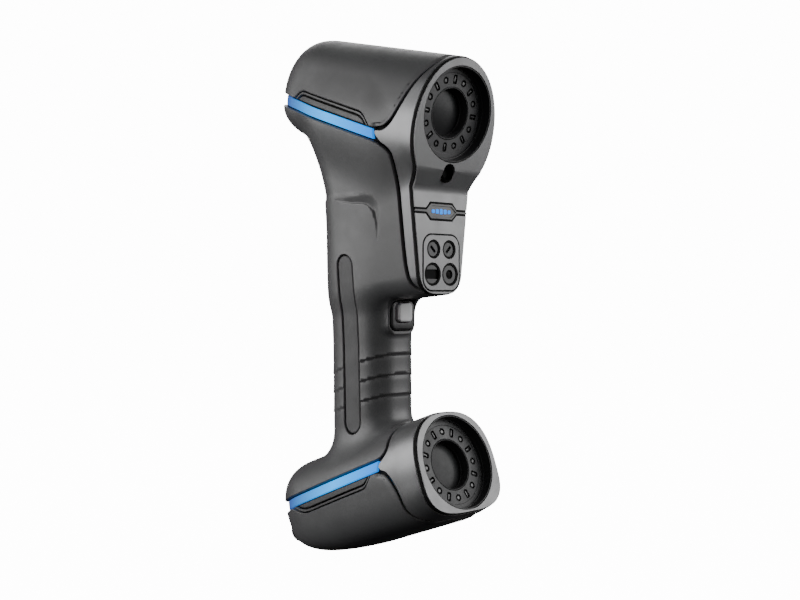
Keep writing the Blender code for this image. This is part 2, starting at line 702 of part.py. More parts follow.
# ---- trigger ----------------------------------------------------------------------------------
def make_trigger(main):
    bezel_z, front = 17.4, -24.9
    cut(main, prism("trigger_cut", "dark", facing(front, bezel_z), rounded(9.9, 9.2, 4.4), -9, 6))
    bezel = prism("trigger_bezel", "dark", facing(front, bezel_z), rounded(9.5, 8.8, 4.0), -8.0, 0)
    hole = rounded(TRIGGER_W / 2 + 0.5, TRIGGER_H / 2 + 0.5, 2.4)
    cut(bezel, prism("trigger_bore", "dark", facing(front, TRIGGER_Z), hole, -12, 6))
    button = prism("trigger_button", "trigger", facing(TRIGGER_FRONT, TRIGGER_Z),
                   rounded(TRIGGER_W / 2, TRIGGER_H / 2, 2.0), -11.2, 0)
    edge = button.modifiers.new("soft_edge", "BEVEL")
    edge.width = 0.7 * MM
    edge.limit_method = "ANGLE"
    edge.angle_limit = radians(60)
    switch_front = -8.6
    prism("trigger_switch", "dark", facing(switch_front, TRIGGER_Z), rounded(4, 4, 0.6, 2), -8, 0)
    spring("trigger_spring", TRIGGER_FRONT + 11.2 + GAP, switch_front - GAP, TRIGGER_Z, 2.8, 0.35, 4)


def spring(name, y_low, y_high, z, radius, wire, turns):
    """A compression spring along Y, a wire swept round a helix."""
    steps = turns * 8
    curve = bpy.data.curves.new(name, "CURVE")
    curve.dimensions = "3D"
    curve.bevel_depth = wire * MM
    curve.bevel_resolution = 0
    curve.use_fill_caps = True
    line = curve.splines.new("POLY")
    line.points.add(steps)
    span = y_high - y_low - 2 * wire
    for i, point in enumerate(line.points):
        turn = 2 * pi * turns * i / steps
        place = (radius * cos(turn), y_low + wire + span * i / steps, z + radius * sin(turn))
        point.co = (*(c * MM for c in place), 1)
    curve.materials.append(material(name, "steel"))
    bpy.context.collection.objects.link(bpy.data.objects.new(name, curve))


# ---- rear keys --------------------------------------------------------------------------------
def make_keypad():
    pad = shell("rear_keypad", "grip", 0.2, [keypad_distance(0.8)], wall=2.4, tight=[keypad_distance(0)])
    for name, z in KEY_ROWS.items():
        surface_y = edge_of_body((0, 0, z), (0, 1, 0))
        place = facing_rear(surface_y, z)
        cut(pad, plug(name + "_hole", place, KEY_R + 0.4, 20))
        turned(name, "trigger", place,
               [(0, -KEY_STEM), (KEY_R, -KEY_STEM), (KEY_R, 0.6), (KEY_R - 0.8, 1.1), (0, 1.1)], 20)
    low, high = min(KEY_ROWS.values()), max(KEY_ROWS.values())
    surface_y = min(edge_of_body((0, 0, z), (0, 1, 0)) for z in KEY_ROWS.values())
    board_y = surface_y - KEY_STEM - KEY_TRAVEL - 1.0
    outline = rounded(6, (high - low) / 2 + 6, 1.5, 2)
    prism("key_board", "board", facing_rear(board_y, (low + high) / 2), outline, -BOARD_THICK, 0)


# ---- inside and connector ---------------------------------------------------------------------
BOARD_SCREWS = (-45.0, -15.0, 25.0, 60.0)


def make_inside():
    arm = 12.0
    outline = [HEAD.point(-arm, 34.4), HEAD.point(-arm, 40.4), (SPINE_FRONT, 108), (SPINE_FRONT, -52),
               BASE.point(arm, 40.4), BASE.point(arm, 34.4), BASE.point(-arm, 34.4), BASE.point(-arm, 40.4),
               (SPINE_REAR, -74), (SPINE_REAR, 128), HEAD.point(arm, 40.4), HEAD.point(arm, 34.4)]
    spine = prism("spine_frame", "alloy", sideways(), outline, -SPINE_HALF_W, SPINE_HALF_W)
    outline = rounded(12, 60, 2, 2, (2, 8))
    board = prism("main_board", "board", sideways(), outline, BOARD_X, BOARD_X + BOARD_THICK)
    screw_y = (SPINE_FRONT + SPINE_REAR) / 2
    for number, z in enumerate(BOARD_SCREWS, 1):
        place = sideways() @ Matrix.Translation((screw_y, z, 0))
        hole = plug(f"board_screw_hole_{number}", place, 1.7, 12, 2.0, 14.0)
        cut(spine, hole)
        cut(board, hole)
        seat = BOARD_X + BOARD_THICK + 0.3
        turned(f"board_screw_{number}", "steel", place,
               [(0, 3.0), (1.3, 3.0), (1.3, seat), (2.6, seat), (2.6, seat + 1.8), (0, seat + 1.8)], 12)


def plug(name, matrix, radius, sides, low=-14.0, high=14.0):
    """A round cutter."""
    return turned(name, "dark", matrix, [(0, low), (radius, low), (radius, high), (0, high)], sides)


def make_socket(cover):
    """The cable's locking socket, parallel to the base at its rear; its origin is on the shell."""
    y, z = BASE.point(SOCKET_UP, 60)
    back = (0, cos(BASE.down), sin(BASE.down))
    depth = 60 + edge_of_body((0, y, z), back, reach=120)
    place = BASE.matrix @ Matrix.Translation((0, SOCKET_UP, -depth)) @ Matrix.Rotation(pi, 4, "X")
    cut(cover, plug("socket_hole", place, SOCKET_R + 0.4, 24))
    turned("cable_socket", "dark", place,
           [(0, -9), (SOCKET_R, -9), (SOCKET_R, SOCKET_LENGTH - 0.7), (SOCKET_R - 0.7, SOCKET_LENGTH),
            (5.2, SOCKET_LENGTH), (5.2, -7), (0, -7)], 24)
    turned("socket_pins", "alloy", place, [(0, -6.6), (4.4, -6.6), (4.4, 3.0), (0, 3.0)], 16)


def clear_scene():
    for obj in list(bpy.data.objects):
        bpy.data.objects.remove(obj)


def main():
    clear_scene()
    body = make_shells()
    make_strips()
    make_side_pieces()
    make_front_plates()
    make_laser_plate()
    make_camera("head", HEAD, True)
    make_camera("base", BASE, False)
    make_trigger(body)
    make_keypad()
    make_inside()
    make_socket(bpy.data.objects["base_bottom_cover"])


main()
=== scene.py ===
"""Looks of the handheld 3D scanner: fine shells, lens units, laser chin, trigger, keys, light, floor.

Everything is worked out in millimetres in the CAD's frame and becomes metres when a mesh is made.
"""
from math import ceil, cos, pi, radians, sin, sqrt, tan

import bmesh
import bpy
import numpy as np
from mathutils import Matrix, Vector


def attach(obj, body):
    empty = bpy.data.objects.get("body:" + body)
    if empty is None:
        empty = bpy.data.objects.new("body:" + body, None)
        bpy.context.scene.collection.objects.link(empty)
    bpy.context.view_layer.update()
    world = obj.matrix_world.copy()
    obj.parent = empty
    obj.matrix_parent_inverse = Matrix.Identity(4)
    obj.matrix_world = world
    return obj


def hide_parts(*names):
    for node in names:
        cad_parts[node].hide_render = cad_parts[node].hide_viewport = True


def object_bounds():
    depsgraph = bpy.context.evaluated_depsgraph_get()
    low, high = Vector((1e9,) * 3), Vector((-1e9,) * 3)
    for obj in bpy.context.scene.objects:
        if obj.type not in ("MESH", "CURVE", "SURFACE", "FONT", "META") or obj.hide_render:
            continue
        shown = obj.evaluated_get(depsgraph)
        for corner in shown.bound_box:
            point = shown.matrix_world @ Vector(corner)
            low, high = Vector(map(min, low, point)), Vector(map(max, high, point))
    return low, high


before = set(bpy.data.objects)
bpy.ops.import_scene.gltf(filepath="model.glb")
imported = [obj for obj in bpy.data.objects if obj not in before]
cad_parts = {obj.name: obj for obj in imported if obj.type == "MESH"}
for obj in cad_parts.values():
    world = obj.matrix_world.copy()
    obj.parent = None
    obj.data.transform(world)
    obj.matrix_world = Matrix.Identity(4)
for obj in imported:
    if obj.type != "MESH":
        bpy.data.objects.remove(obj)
cad_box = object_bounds()

MM = 0.001

# ---- sizes shared with the CAD, mm ----
WALL = 2.2
SEAM = 0.7
FACE_Y = -67.9
PANEL_Y = -55.0
FOLD_TOP, FOLD_LOW = 98.3, 88.0
PLATE = 1.6
STRIP_HALF = 3.1
OPENING_R = 26.8
LED_CIRCLE_R, LED_DEPTH = 18.8, 6.2
LENS_BORE_R = 14.5
BADGE_Z = 75.8
BADGE_HALF_W, BADGE_FLAT, BADGE_HALF_H, BADGE_BAR = 12.9, 8.5, 4.1, 0.55
SENSOR_Z, SENSOR_R = 97.5, 4.4
LASER_Z, LASER_HALF_W, LASER_HALF_H = 47.2, 14.3, 15.3
TRIGGER_Z, TRIGGER_W, TRIGGER_H, TRIGGER_FRONT = 19.0, 10.6, 10.9, -27.2
BEZEL_Z, BEZEL_FRONT = 17.4, -24.9
KEY_R, KEY_STEM = 4.4, 5.0
KEY_ROWS = {"rear_key_up": 75.0, "rear_key_main": 62.0, "rear_key_down": 49.0}
SOCKET_UP, SOCKET_R, SOCKET_LENGTH = -9.0, 7.0, 13.0

# ---- sizes of the fine surfaces, mm ----
CELL = 1.4                     # facet size of the shells
RIM = 0.35                     # bevel along a shell's edge
PLATE_INSET = 0.65             # how far a front plate's edge lies inside the body's outline
PROBE = 0.05                   # step for slopes
NOWHERE = -50.0                # a distance that stands for "far outside"


class Tilted:
    """The frame of a camera unit: its face plane, tilted about X at the lens centre."""

    def __init__(self, lens_z, down):
        self.z, self.down = lens_z, down
        self.matrix = Matrix(((1, 0, 0, 0), (0, -sin(down), -cos(down), FACE_Y),
                              (0, cos(down), -sin(down), lens_z), (0, 0, 0, 1)))

    def along_up(self, y, z):
        """Distance behind the face plane and height in it."""
        c, s = cos(self.down), sin(self.down)
        return (y - FACE_Y) * c + (z - self.z) * s, (z - self.z) * c - (y - FACE_Y) * s

    def point(self, up, depth):
        """(y, z) of a point `up` in the face plane and `depth` behind it."""
        c, s = cos(self.down), sin(self.down)
        return FACE_Y + depth * c - up * s, self.z + depth * s + up * c


HEAD = Tilted(128.7, radians(12.5))
BASE = Tilted(-63.1, radians(-19.6))


# ---- outer shape, a smooth field that is negative inside ----
def smooth_min(a, b, k):
    h = np.maximum(k - np.abs(a - b), 0.0) / k
    return np.minimum(a, b) - h * h * k / 4


def ramp(t, low, high):
    t = np.clip((t - low) / (high - low), 0.0, 1.0)
    return t * t * (3 - 2 * t)


def barrel(x, along, rise, width, top, bottom, powers, round_from, round_len):
    """Superelliptic barrel along its own axis, with a rounded rear end."""
    p_top, p_bottom, p_end = powers
    v = np.where(rise > 0, rise / top, -rise / bottom)
    p = np.where(rise > 0, p_top, p_bottom)
    cross = (np.abs(x / width) ** p + v ** p) ** (1 / p)
    end = np.maximum(along - round_from, 0.0) / round_len
    return ((cross ** p_end + end ** p_end) ** (1 / p_end) - 1) * 0.9 * np.minimum(width, bottom)


def head_field(x, y, z):
    along, up = HEAD.along_up(y, z)
    width = 32.3 + 0.8 * ramp(along, 0, 40) - 2.0 * ramp(along, 60, 130)
    top = 40.9 + 0.016 * np.clip(along, 0, 110)
    bottom = 36.0 - 16.0 * ramp(along, 10, 115)
    return barrel(x, along, up + 9.0, width, top, bottom, (2.05, 2.1, 2.9), 97.6 + 0.15 * up, 34.5)


def base_field(x, y, z):
    along, up = BASE.along_up(y, z)
    grow = ramp(along, 0, 18)
    width = 31.3 + 0.9 * grow - 2.0 * ramp(along, 60, 130)
    bottom = 22.4 + 2.6 * grow - 6.0 * ramp(along, 75, 140)
    return barrel(x, along, up + 6.0, width, 35.3, bottom, (2.6, 3.2, 2.4), 103.4 + 0.17 * up, 34.0)


def grip_field(x, y, z):
    lean = 0.02 * (z + 35) + 2.0 * ramp(z, 20, 110)
    mid, semi = 1.4 + lean / 2, 24.0 + lean / 2
    width = 18.8 + 0.035 * np.maximum(z, 0)
    side = ((np.abs(x / width) ** 2.6 + np.abs((y - mid) / semi) ** 2.6) ** (1 / 2.6) - 1) * width
    side = side + 2.6 * ramp(z, 34, 80)
    return np.maximum(side, np.maximum(-82 - 0.36 * y - z, z - 80))


def neck_field(x, y, z):
    width = 17.6 + 0.118 * (z - 43) + 2.6 * ramp(y, -62, -15)
    rear = 2.2 + 0.012 * z + 5.0 * ramp(z, 85, 115)
    end = np.maximum(y - rear, 0.0) / 24.0
    side = ((np.abs(x / width) ** 2.4 + end ** 2.4) ** (1 / 2.4) - 1) * width
    floor = 27.7 - 0.0875 * (y + 38) - z
    rounded = -smooth_min(-side, -floor, 11.0)
    return -smooth_min(-rounded, 142 + 0.222 * y - z, 24.0)


def collar_field(x, y, z):
    """The low collar that the trigger's bezel stands in."""
    over_x = np.maximum(np.abs(x) - 6.2, 0)
    over_z = np.maximum(np.abs(z - BEZEL_Z) - 5.4, 0)
    side = np.sqrt(over_x ** 2 + over_z ** 2) - 4.5
    return np.maximum(side, np.maximum(-23.4 - y, y + 10))


def body_field(x, y, z):
    lower = smooth_min(grip_field(x, y, z), base_field(x, y, z), 8.0)
    upper = smooth_min(head_field(x, y, z), neck_field(x, y, z), 4 + 12 * ramp(y, -60, -25))
    return smooth_min(lower, upper, 9.0)


def skin_field(x, y, z):
    return smooth_min(body_field(x, y, z), collar_field(x, y, z), 4.0)


def edge_of_body(point, direction, level=0.0, reach=60.0):
    """How far `point` can move along `direction` before it leaves the body."""
    near, far = 0.0, reach
    for _ in range(30):
        middle = (near + far) / 2
        inside = body_field(*(np.array(point) + middle * np.array(direction))) < level
        near, far = (middle, far) if inside else (near, middle)
    return near


# ---- side-view curves, (y, z) ----
def head_strip_z(y):
    return 130.3 + 0.354 * y


def base_strip_z(y):
    return -79.6 - 0.398 * y


HEAD_TOP_SEAM = [(-36.5, 120.7), (-41, 120.4), (-45.5, 122.4), (-50, 126.6), (-55, 133.6), (-60, 142),
                 (-64, 148.8), (-66.8, 153), (-68.9, 158), (-70.7, 166), (-73.4, 178)]
CHIN_SEAM = [(-38.5, 113.2), (-43.3, 109.3), (-45.3, 104.5), (-45.3, 92), (-45.2, 78), (-45.3, 62),
             (-45.6, 50), (-46.4, 42), (-48.3, 35.8), (-52, 32.3), (-57, 31.0), (-70, 30.5)]
BASE_TOP_SEAM = [(-38.6, -60.2), (-40.3, -56.2), (-38.8, -51.5), (-37.2, -47), (-38, -43), (-42, -39),
                 (-50, -34), (-64, -27)]
BASE_LOW_SEAM = [(-38, -68.3), (-42.5, -68.9), (-46.6, -71.5), (-50, -75), (-53, -78.6), (-55.3, -82.6),
                 (-58, -87.6), (-62, -91.5), (-68, -94), (-80, -97)]


def strip_edge(strip_z, side, seam):
    """A shell's edge: along its light strip from the rear, then along `seam` to the front."""
    offset = side * (STRIP_HALF + 0.1)
    return [(y, strip_z(y) + offset) for y in (90, 60, 30, 0, -30)] + seam


COVER_CURVE = strip_edge(head_strip_z, 1, HEAD_TOP_SEAM)
NECK_CURVE = strip_edge(head_strip_z, -1, [(-34.5, 114.6)] + CHIN_SEAM)
HEAD_FRAME_CURVE = HEAD_TOP_SEAM[::-1] + [(-35.2, 118.2)] + CHIN_SEAM
GRIP_CURVE = strip_edge(base_strip_z, 1, [(-35.5, -62.2)] + BASE_TOP_SEAM)
BASE_FRAME_CURVE = BASE_TOP_SEAM[::-1] + [(-35.2, -65.6)] + BASE_LOW_SEAM
BASE_COVER_CURVE = strip_edge(base_strip_z, -1, BASE_LOW_SEAM)


def smooth_curve(points, steps=6):
    """Catmull-Rom curve through the points."""
    p = np.array([points[0]] + list(points) + [points[-1]], float)
    t = np.linspace(0, 1, steps, endpoint=False)[:, None]
    spans = [0.5 * (2 * b + (c - a) * t + (2 * a - 5 * b + 4 * c - d) * t ** 2
                    + (3 * b - a - 3 * c + d) * t ** 3)
             for a, b, c, d in zip(p, p[1:], p[2:], p[3:])]
    return np.vstack(spans + [p[-1:]])


def side_distance(points, smooth=True):
    """Signed distance from a curve in the side view, positive on its left."""
    line = smooth_curve(points) if smooth else np.array(points, float)
    start, step = line[:-1], np.diff(line, axis=0)
    square = (step ** 2).sum(-1)

    def distance(x, y, z):
        ry, rz = y[:, None] - start[:, 0], z[:, None] - start[:, 1]
        t = np.clip((ry * step[:, 0] + rz * step[:, 1]) / square, 0, 1)
        oy, oz = ry - t * step[:, 0], rz - t * step[:, 1]
        length = oy ** 2 + oz ** 2
        nearest = length.argmin(1)
        pick = np.arange(len(length)), nearest
        side = step[nearest, 0] * oz[pick] - step[nearest, 1] * oy[pick]
        return np.copysign(np.sqrt(length[pick]), side)
    return distance


def behind_face(setback):
    """Distance behind the two lens faces, the fold and the chin panel, less a setback."""
    fold = [HEAD.point(60, 0), (FACE_Y + (HEAD.z - FOLD_TOP) * tan(HEAD.down), FOLD_TOP),
            (PANEL_Y, FOLD_LOW), (PANEL_Y, 0), BASE.point(60, 0), BASE.point(-60, 0)]
    distance = side_distance(fold, smooth=False)
    return lambda x, y, z: distance(x, y, z) - setback


def between(axis, low, high):
    """The two distances that bound a slab across an axis."""
    return [lambda *at: at[axis] - low, lambda *at: high - at[axis]]


def beyond(sign, by):
    """Distance past x = `by` on the side given by `sign`."""
    return lambda x, y, z: sign * x - by


def offset(distance, by, sign=1):
    """A distance with its zero moved by `by`, and turned inside out if `sign` is -1."""
    return lambda x, y, z: sign * distance(x, y, z) - by


def shell_edge(curve, sign, widen=0.95):
    """Inside distance of a shell's edge; the seam is wider beside the front frames than at the strips."""
    distance = side_distance(curve)

    def edge(x, y, z):
        return sign * distance(x, y, z) - SEAM - widen * ramp(-y, 33.5, 39) * (1 - ramp(z, 140, 172))
    return edge


def step_beside(edge):
    """A shallow step that runs along the front part of a shell's edge."""
    def depth(x, y, z):
        return STEP_DEPTH * (1 - ramp(edge(x, y, z), STEP_AT, STEP_AT + STEP_WIDE)) * ramp(-y, 34, 37)
    return depth


def pad_distance(inset):
    """Inside distance of a grip pad's outline, a slightly leaning pill seen from the side."""
    low, high, radius = np.array((-1.2, -45.4)), np.array((1.4, 46.0)), 6.5
    axis = high - low

    def distance(x, y, z):
        rel = np.stack([y, z], -1) - low
        t = np.clip(rel @ axis / (axis @ axis), 0, 1)
        return radius - inset - np.sqrt(((rel - t[:, None] * axis) ** 2).sum(-1))
    return distance


def keypad_distance(inset):
    """Inside distance of the rear keypad's outline, a pill seen from behind."""
    top, low, radius = max(KEY_ROWS.values()), min(KEY_ROWS.values()), 8.6

    def distance(x, y, z):
        over = z - np.clip(z, low, top)
        return np.where(y > 10, radius - inset - np.sqrt(x ** 2 + over ** 2), NOWHERE)
    return distance


def bezel_distance(inset):
    """Inside distance of the trigger bezel's outline, a rounded square seen from the front."""
    def distance(x, y, z):
        over_x = np.maximum(np.abs(x) - 5.5, 0)
        over_z = np.maximum(np.abs(z - BEZEL_Z) - 4.8, 0)
        return np.where(y < -10, 4.4 - inset - np.sqrt(over_x ** 2 + over_z ** 2), NOWHERE)
    return distance


def round_hole(place, radius, front):
    """Inside distance of a round hole along `place`'s Z, on the side given by `front` (a test)."""
    origin = np.array(place.translation)
    axis = np.array(place.to_3x3().col[2])

    def distance(x, y, z):
        rel = np.stack([x, y, z], -1) - origin
        flat = rel - (rel @ axis)[:, None] * axis
        return np.where(front(x, y, z), radius - np.sqrt((flat ** 2).sum(-1)), NOWHERE)
    return distance


# ---- relief on the shells ----
STEP_AT, STEP_WIDE, STEP_DEPTH = 1.5, 0.8, 0.55
RIB_STEP, RIB_COUNT, RIB_RISE = 11.6, 3, 0.28
FLUTE_OUTER = [(6, 84.5), (-5.3, 85.2), (-15, 85.8), (-22.1, 85.5), (-27, 82.4), (-28.8, 76.9),
               (-28, 68.5), (-26.2, 60.1)]
FLUTE_INNER = [(6, 84.5), (-5.3, 82.9), (-14, 82.1), (-19.5, 80.9), (-23.4, 77.9), (-25.4, 73.5),
               (-26.3, 67.5), (-26.2, 60.1)]
FLUTE_SLOPE, FLUTE_LIP = 0.24, 0.45


def rib_height(number):
    """Distance above one of the slanted ribs round the handle."""
    def distance(x, y, z):
        return (z + 11.5 + 0.3 * y + RIB_STEP * number) / 1.044
    return distance


RIBS = [rib_height(i) for i in range(RIB_COUNT)]
outer_flute, inner_flute = side_distance(FLUTE_OUTER), side_distance(FLUTE_INNER)


def relief(x, y, z):
    """How deep the main shell's surface lies below the body's, in mm."""
    depth = np.zeros_like(x)
    for rib in RIBS:
        s = rib(x, y, z)
        above = RIB_RISE * np.clip(1 - s / 5.5, 0, 1) ** 2
        below = np.interp(s, [-2.6, -0.45, 0], [0, -0.2, RIB_RISE])
        depth -= np.where(s > 0, above, below) * ramp(z, -48, -43)
    flank = (np.abs(x) > 8) & (y < 6) & (y > -31) & (z > 60.1) & (z < 88)
    if flank.any():
        at = x[flank], y[flank], z[flank]
        outer, inner = outer_flute(*at), inner_flute(*at)
        cutout = FLUTE_SLOPE * np.clip(outer, 0, 5) * np.clip(1 - inner / FLUTE_LIP, 0, 1)
        depth[flank] += cutout
    return depth


# ---- surface patches ----
def surface_net(field, low, high, cell):
    """Quads over the zero surface of a field: one vertex in each grid cell that it crosses."""
    axes = [a + cell * np.arange(ceil((b - a) / cell) + 1) for a, b in zip(low, high)]
    grid = np.stack(np.meshgrid(*axes, indexing="ij"), -1)
    value = field(grid[..., 0], grid[..., 1], grid[..., 2])
    cells = [n - 1 for n in value.shape]
    total, hits = np.zeros(cells + [3]), np.zeros(cells)

    def corner(array, shift):
        return array[tuple(slice(s, s + n) for s, n in zip(shift, cells))]

    for start in np.ndindex(2, 2, 2):
        for axis in range(3):
            if start[axis]:
                continue
            end = tuple(1 if i == axis else s for i, s in enumerate(start))
            a, b = corner(value, start), corner(value, end)
            crosses = (a < 0) != (b < 0)
            t = np.where(crosses, a / np.where(crosses, a - b, 1), 0)[..., None]
            point = corner(grid, start) * (1 - t) + corner(grid, end) * t
            total += np.where(crosses[..., None], point, 0)
            hits += crosses
    used = hits > 0
    number = np.full(used.shape, -1)
    number[used] = np.arange(used.sum())
    quads = []
    for axis in range(3):
        u, v = (axis + 1) % 3, (axis + 2) % 3
        here = [slice(1, -1)] * 3
        there = list(here)
        here[axis], there[axis] = slice(0, -1), slice(1, None)
        inside, beyond = value[tuple(here)] < 0, value[tuple(there)] < 0
        for found, turn in ((inside & ~beyond, 1), (beyond & ~inside, -1)):
            spot = np.argwhere(found)
            ring = []
            for du, dv in ((0, 0), (1, 0), (1, 1), (0, 1)):
                at = spot.copy()
                at[:, u] += du
                at[:, v] += dv
                ring.append(number[tuple(at.T)])
            quads.append(np.stack(ring[::turn], 1))
    return total[used] / hits[used][:, None], np.vstack(quads)


def slope_of(field, points):
    """Gradient of a field at some points."""
    steps = np.eye(3) * PROBE
    return np.stack([field(*(points + d).T) - field(*(points - d).T) for d in steps], 1) / (2 * PROBE)


def settle(field, points, rounds=4):
    """Move points along the field's gradient onto its zero surface."""
    for _ in range(rounds):
        slope = slope_of(field, points)
        step = field(*points.T)[:, None] * slope / (slope ** 2).sum(1)[:, None]
        points = points - np.clip(step, -1, 1)
    return points


def unit(vectors):
    return vectors / np.maximum(np.linalg.norm(vectors, axis=1), 1e-12)[:, None]


def sides_of(tris):
    """The three directed edges of every triangle."""
    return np.concatenate([tris[:, [0, 1]], tris[:, [1, 2]], tris[:, [2, 0]]])


class Patch:
    """A triangle mesh on a field's surface, `level` mm inside its outside."""

    def __init__(self, level, low, high, cell, shape):
        self.cell = cell
        self.field = lambda x, y, z: shape(x, y, z) + level
        half = ceil(-low[0] / cell) + 0.5 if low[0] < 0 else -low[0] / cell
        points, quads = surface_net(self.field, (-half * cell, low[1], low[2]), high, cell)
        self.points = settle(self.field, points)
        a, b, c, d = quads.T
        across = np.linalg.norm(self.points[a] - self.points[c], axis=1)
        other = np.linalg.norm(self.points[b] - self.points[d], axis=1)
        short = (across < other)[:, None]
        one = np.where(short, np.stack([a, b, c], 1), np.stack([a, b, d], 1))
        two = np.where(short, np.stack([a, c, d], 1), np.stack([b, c, d], 1))
        self.tris = np.vstack([one, two])
        self.pinned = np.zeros(len(self.points), bool)

    def compact(self):
        used, place = np.unique(self.tris, return_inverse=True)
        self.points, self.pinned = self.points[used], self.pinned[used]
        self.tris = place.reshape(-1, 3)

    def values(self, distance):
        return distance(*self.points.T)

    def near(self, distances, margin):
        """Drop the triangles that are well outside the bounds."""
        for distance in distances:
            value = self.values(distance)
            self.tris = self.tris[value[self.tris].max(1) > -margin]
            self.compact()

    def split(self, distance, within=()):
        """Cut triangles along distance = 0 where `within` is positive, keeping both sides."""
        value = self.values(distance)
        local = np.abs(value) < 3 * self.cell
        for other in within:
            local &= self.values(other) > -2 * self.cell
        close = local & (np.abs(value) < 0.22 * self.cell) & ~self.pinned
        if close.any():
            spots = self.points[close]
            normal = unit(slope_of(self.field, spots))
            slope = slope_of(distance, spots)
            slope -= (slope * normal).sum(1)[:, None] * normal
            steep = (slope ** 2).sum(1)
            good = steep > 0.3
            where = np.flatnonzero(close)[good]
            step = (slope * (-value[close] / np.maximum(steep, 1e-9))[:, None])[good]
            self.points[where] += step
            self.pinned[where] = True
            value[where] = 0.0
        value[np.abs(value) < 0.02] = 0.0
        v = value[self.tris]
        crossing = (v.min(1) < 0) & (v.max(1) > 0) & local[self.tris].all(1)
        rest, cross = self.tris[~crossing], self.tris[crossing]
        if not len(cross):
            return
        ends = np.unique(np.sort(sides_of(cross), axis=1), axis=0)
        va, vb = value[ends[:, 0]], value[ends[:, 1]]
        hit = va * vb < 0
        ends, va, vb = ends[hit], va[hit], vb[hit]
        total = len(self.points)
        keys = ends[:, 0] * total + ends[:, 1]
        t = (va / (va - vb))[:, None]
        made = self.points[ends[:, 0]] * (1 - t) + self.points[ends[:, 1]] * t
        made = settle(self.field, made, 2)

        def middle(tri, i, j):
            low, high = np.minimum(tri[:, i], tri[:, j]), np.maximum(tri[:, i], tri[:, j])
            key = low * total + high
            at = np.clip(np.searchsorted(keys, key), 0, len(keys) - 1)
            return np.where(keys[at] == key, total + at, -1)

        # neighbours that aren't cut themselves would be left with a gap, so they are opened too
        touched = np.max([middle(rest, i, j) for i, j in ((0, 1), (1, 2), (2, 0))], axis=0) >= 0
        cross, rest = np.vstack([cross, rest[touched]]), rest[~touched]
        out = [rest]
        mids = np.stack([middle(cross, 0, 1), middle(cross, 1, 2), middle(cross, 2, 0)], 1)
        count = (mids >= 0).sum(1)
        for turn in range(3):
            tri, mid = np.roll(cross, -turn, 1), np.roll(mids, -turn, 1)
            one = (count == 1) & (mid[:, 0] >= 0)
            a, b, c, m = tri[one, 0], tri[one, 1], tri[one, 2], mid[one, 0]
            out += [np.stack([a, m, c], 1), np.stack([m, b, c], 1)]
            two = (count == 2) & (mid[:, 0] >= 0) & (mid[:, 2] >= 0)
            a, b, c = tri[two].T
            m, n = mid[two, 0], mid[two, 2]
            out += [np.stack([a, m, n], 1), np.stack([m, b, c], 1), np.stack([m, c, n], 1)]
        self.tris = np.vstack(out)
        self.points = np.vstack([self.points, made])
        self.pinned = np.concatenate([self.pinned, np.ones(len(made), bool)])

    def filter(self, distances, inside):
        """Keep only the triangles that lie where all the distances are positive, or only the others."""
        middle = self.points[self.tris].mean(1).T
        self.tris = self.tris[(np.min([d(*middle) for d in distances], axis=0) > 0) == inside]
        self.compact()

    def rim_edges(self):
        """Directed edges that only one triangle has."""
        edges = sides_of(self.tris)
        key = edges.min(1) * len(self.points) + edges.max(1)
        _, first, count = np.unique(key, return_index=True, return_counts=True)
        return edges[first[count == 1]]


def skin(name, finish, level, bounds, holes=(), *, low, high, cell=CELL, lines=(), shape=body_field,
         rim=RIM, wall=WALL, sunk=None, replaced=()):
    """A closed shell: the part of the surface inside `bounds` and outside each of `holes`.

    Its outer edge is bevelled and the normals on its outside are exact. `lines` are cut into the mesh
    for the relief, and `sunk` says how deep the outside lies below the surface.
    """
    surface = Patch(level, low, high, cell, shape)
    surface.near(bounds, 2 * cell)
    for distance, within in lines:
        surface.split(distance, within)
    scores = (rim, 0) if rim else (0,)
    for distance in bounds:
        for by in scores:
            surface.split(offset(distance, by))
    surface.filter(bounds, True)
    for hole in holes:
        for distance in hole:
            for by in scores:
                surface.split(offset(distance, -by), [offset(d, -by) for d in hole])
        surface.filter(hole, False)

    points, tris, field = surface.points, surface.tris, surface.field
    base_normal = unit(slope_of(field, points))
    outer = points
    if sunk is not None:
        outer = points - base_normal * sunk(*points.T)[:, None]
        field = lambda x, y, z: surface.field(x, y, z) + sunk(x, y, z)
    normal = unit(slope_of(field, outer))
    edges = surface.rim_edges()
    on_rim = np.zeros(len(points), bool)
    on_rim[edges.ravel()] = True
    outer = outer - np.where(on_rim[:, None], base_normal * rim * 0.85, 0)
    inner = points - base_normal * wall
    count = len(points)
    walls = np.stack([edges[:, 1], edges[:, 0], edges[:, 0] + count, edges[:, 1] + count], 1)
    faces = tris.tolist() + (tris[:, ::-1] + count).tolist() + walls.tolist()
    every = np.vstack([outer, inner])

    def flat(corner):
        a, b, c = every[corner[:, 0]], every[corner[:, 1]], every[corner[:, 2]]
        return unit(np.cross(b - a, c - a))

    outside = normal[tris]
    bevel = on_rim[tris].any(1)
    outside[bevel] = flat(tris[bevel])[:, None, :]
    inside = -base_normal[tris[:, ::-1]]
    sides = np.repeat(flat(walls)[:, None, :], 4, axis=1)
    loops = np.vstack([outside.reshape(-1, 3), inside.reshape(-1, 3), sides.reshape(-1, 3)])
    mesh = bpy.data.meshes.new(name)
    mesh.from_pydata((every * MM).tolist(), [], faces)
    mesh.shade_smooth()
    mesh.normals_split_custom_set(loops.tolist())
    # the rim mask, which the finishes use for a painted highlight along a shell's edge
    edge = mesh.attributes.new("rim", "FLOAT", "POINT")
    edge.data.foreach_set("value", np.concatenate([on_rim, np.zeros(count)]).astype(np.float32))
    ride(link(name, mesh, finish), *replaced)


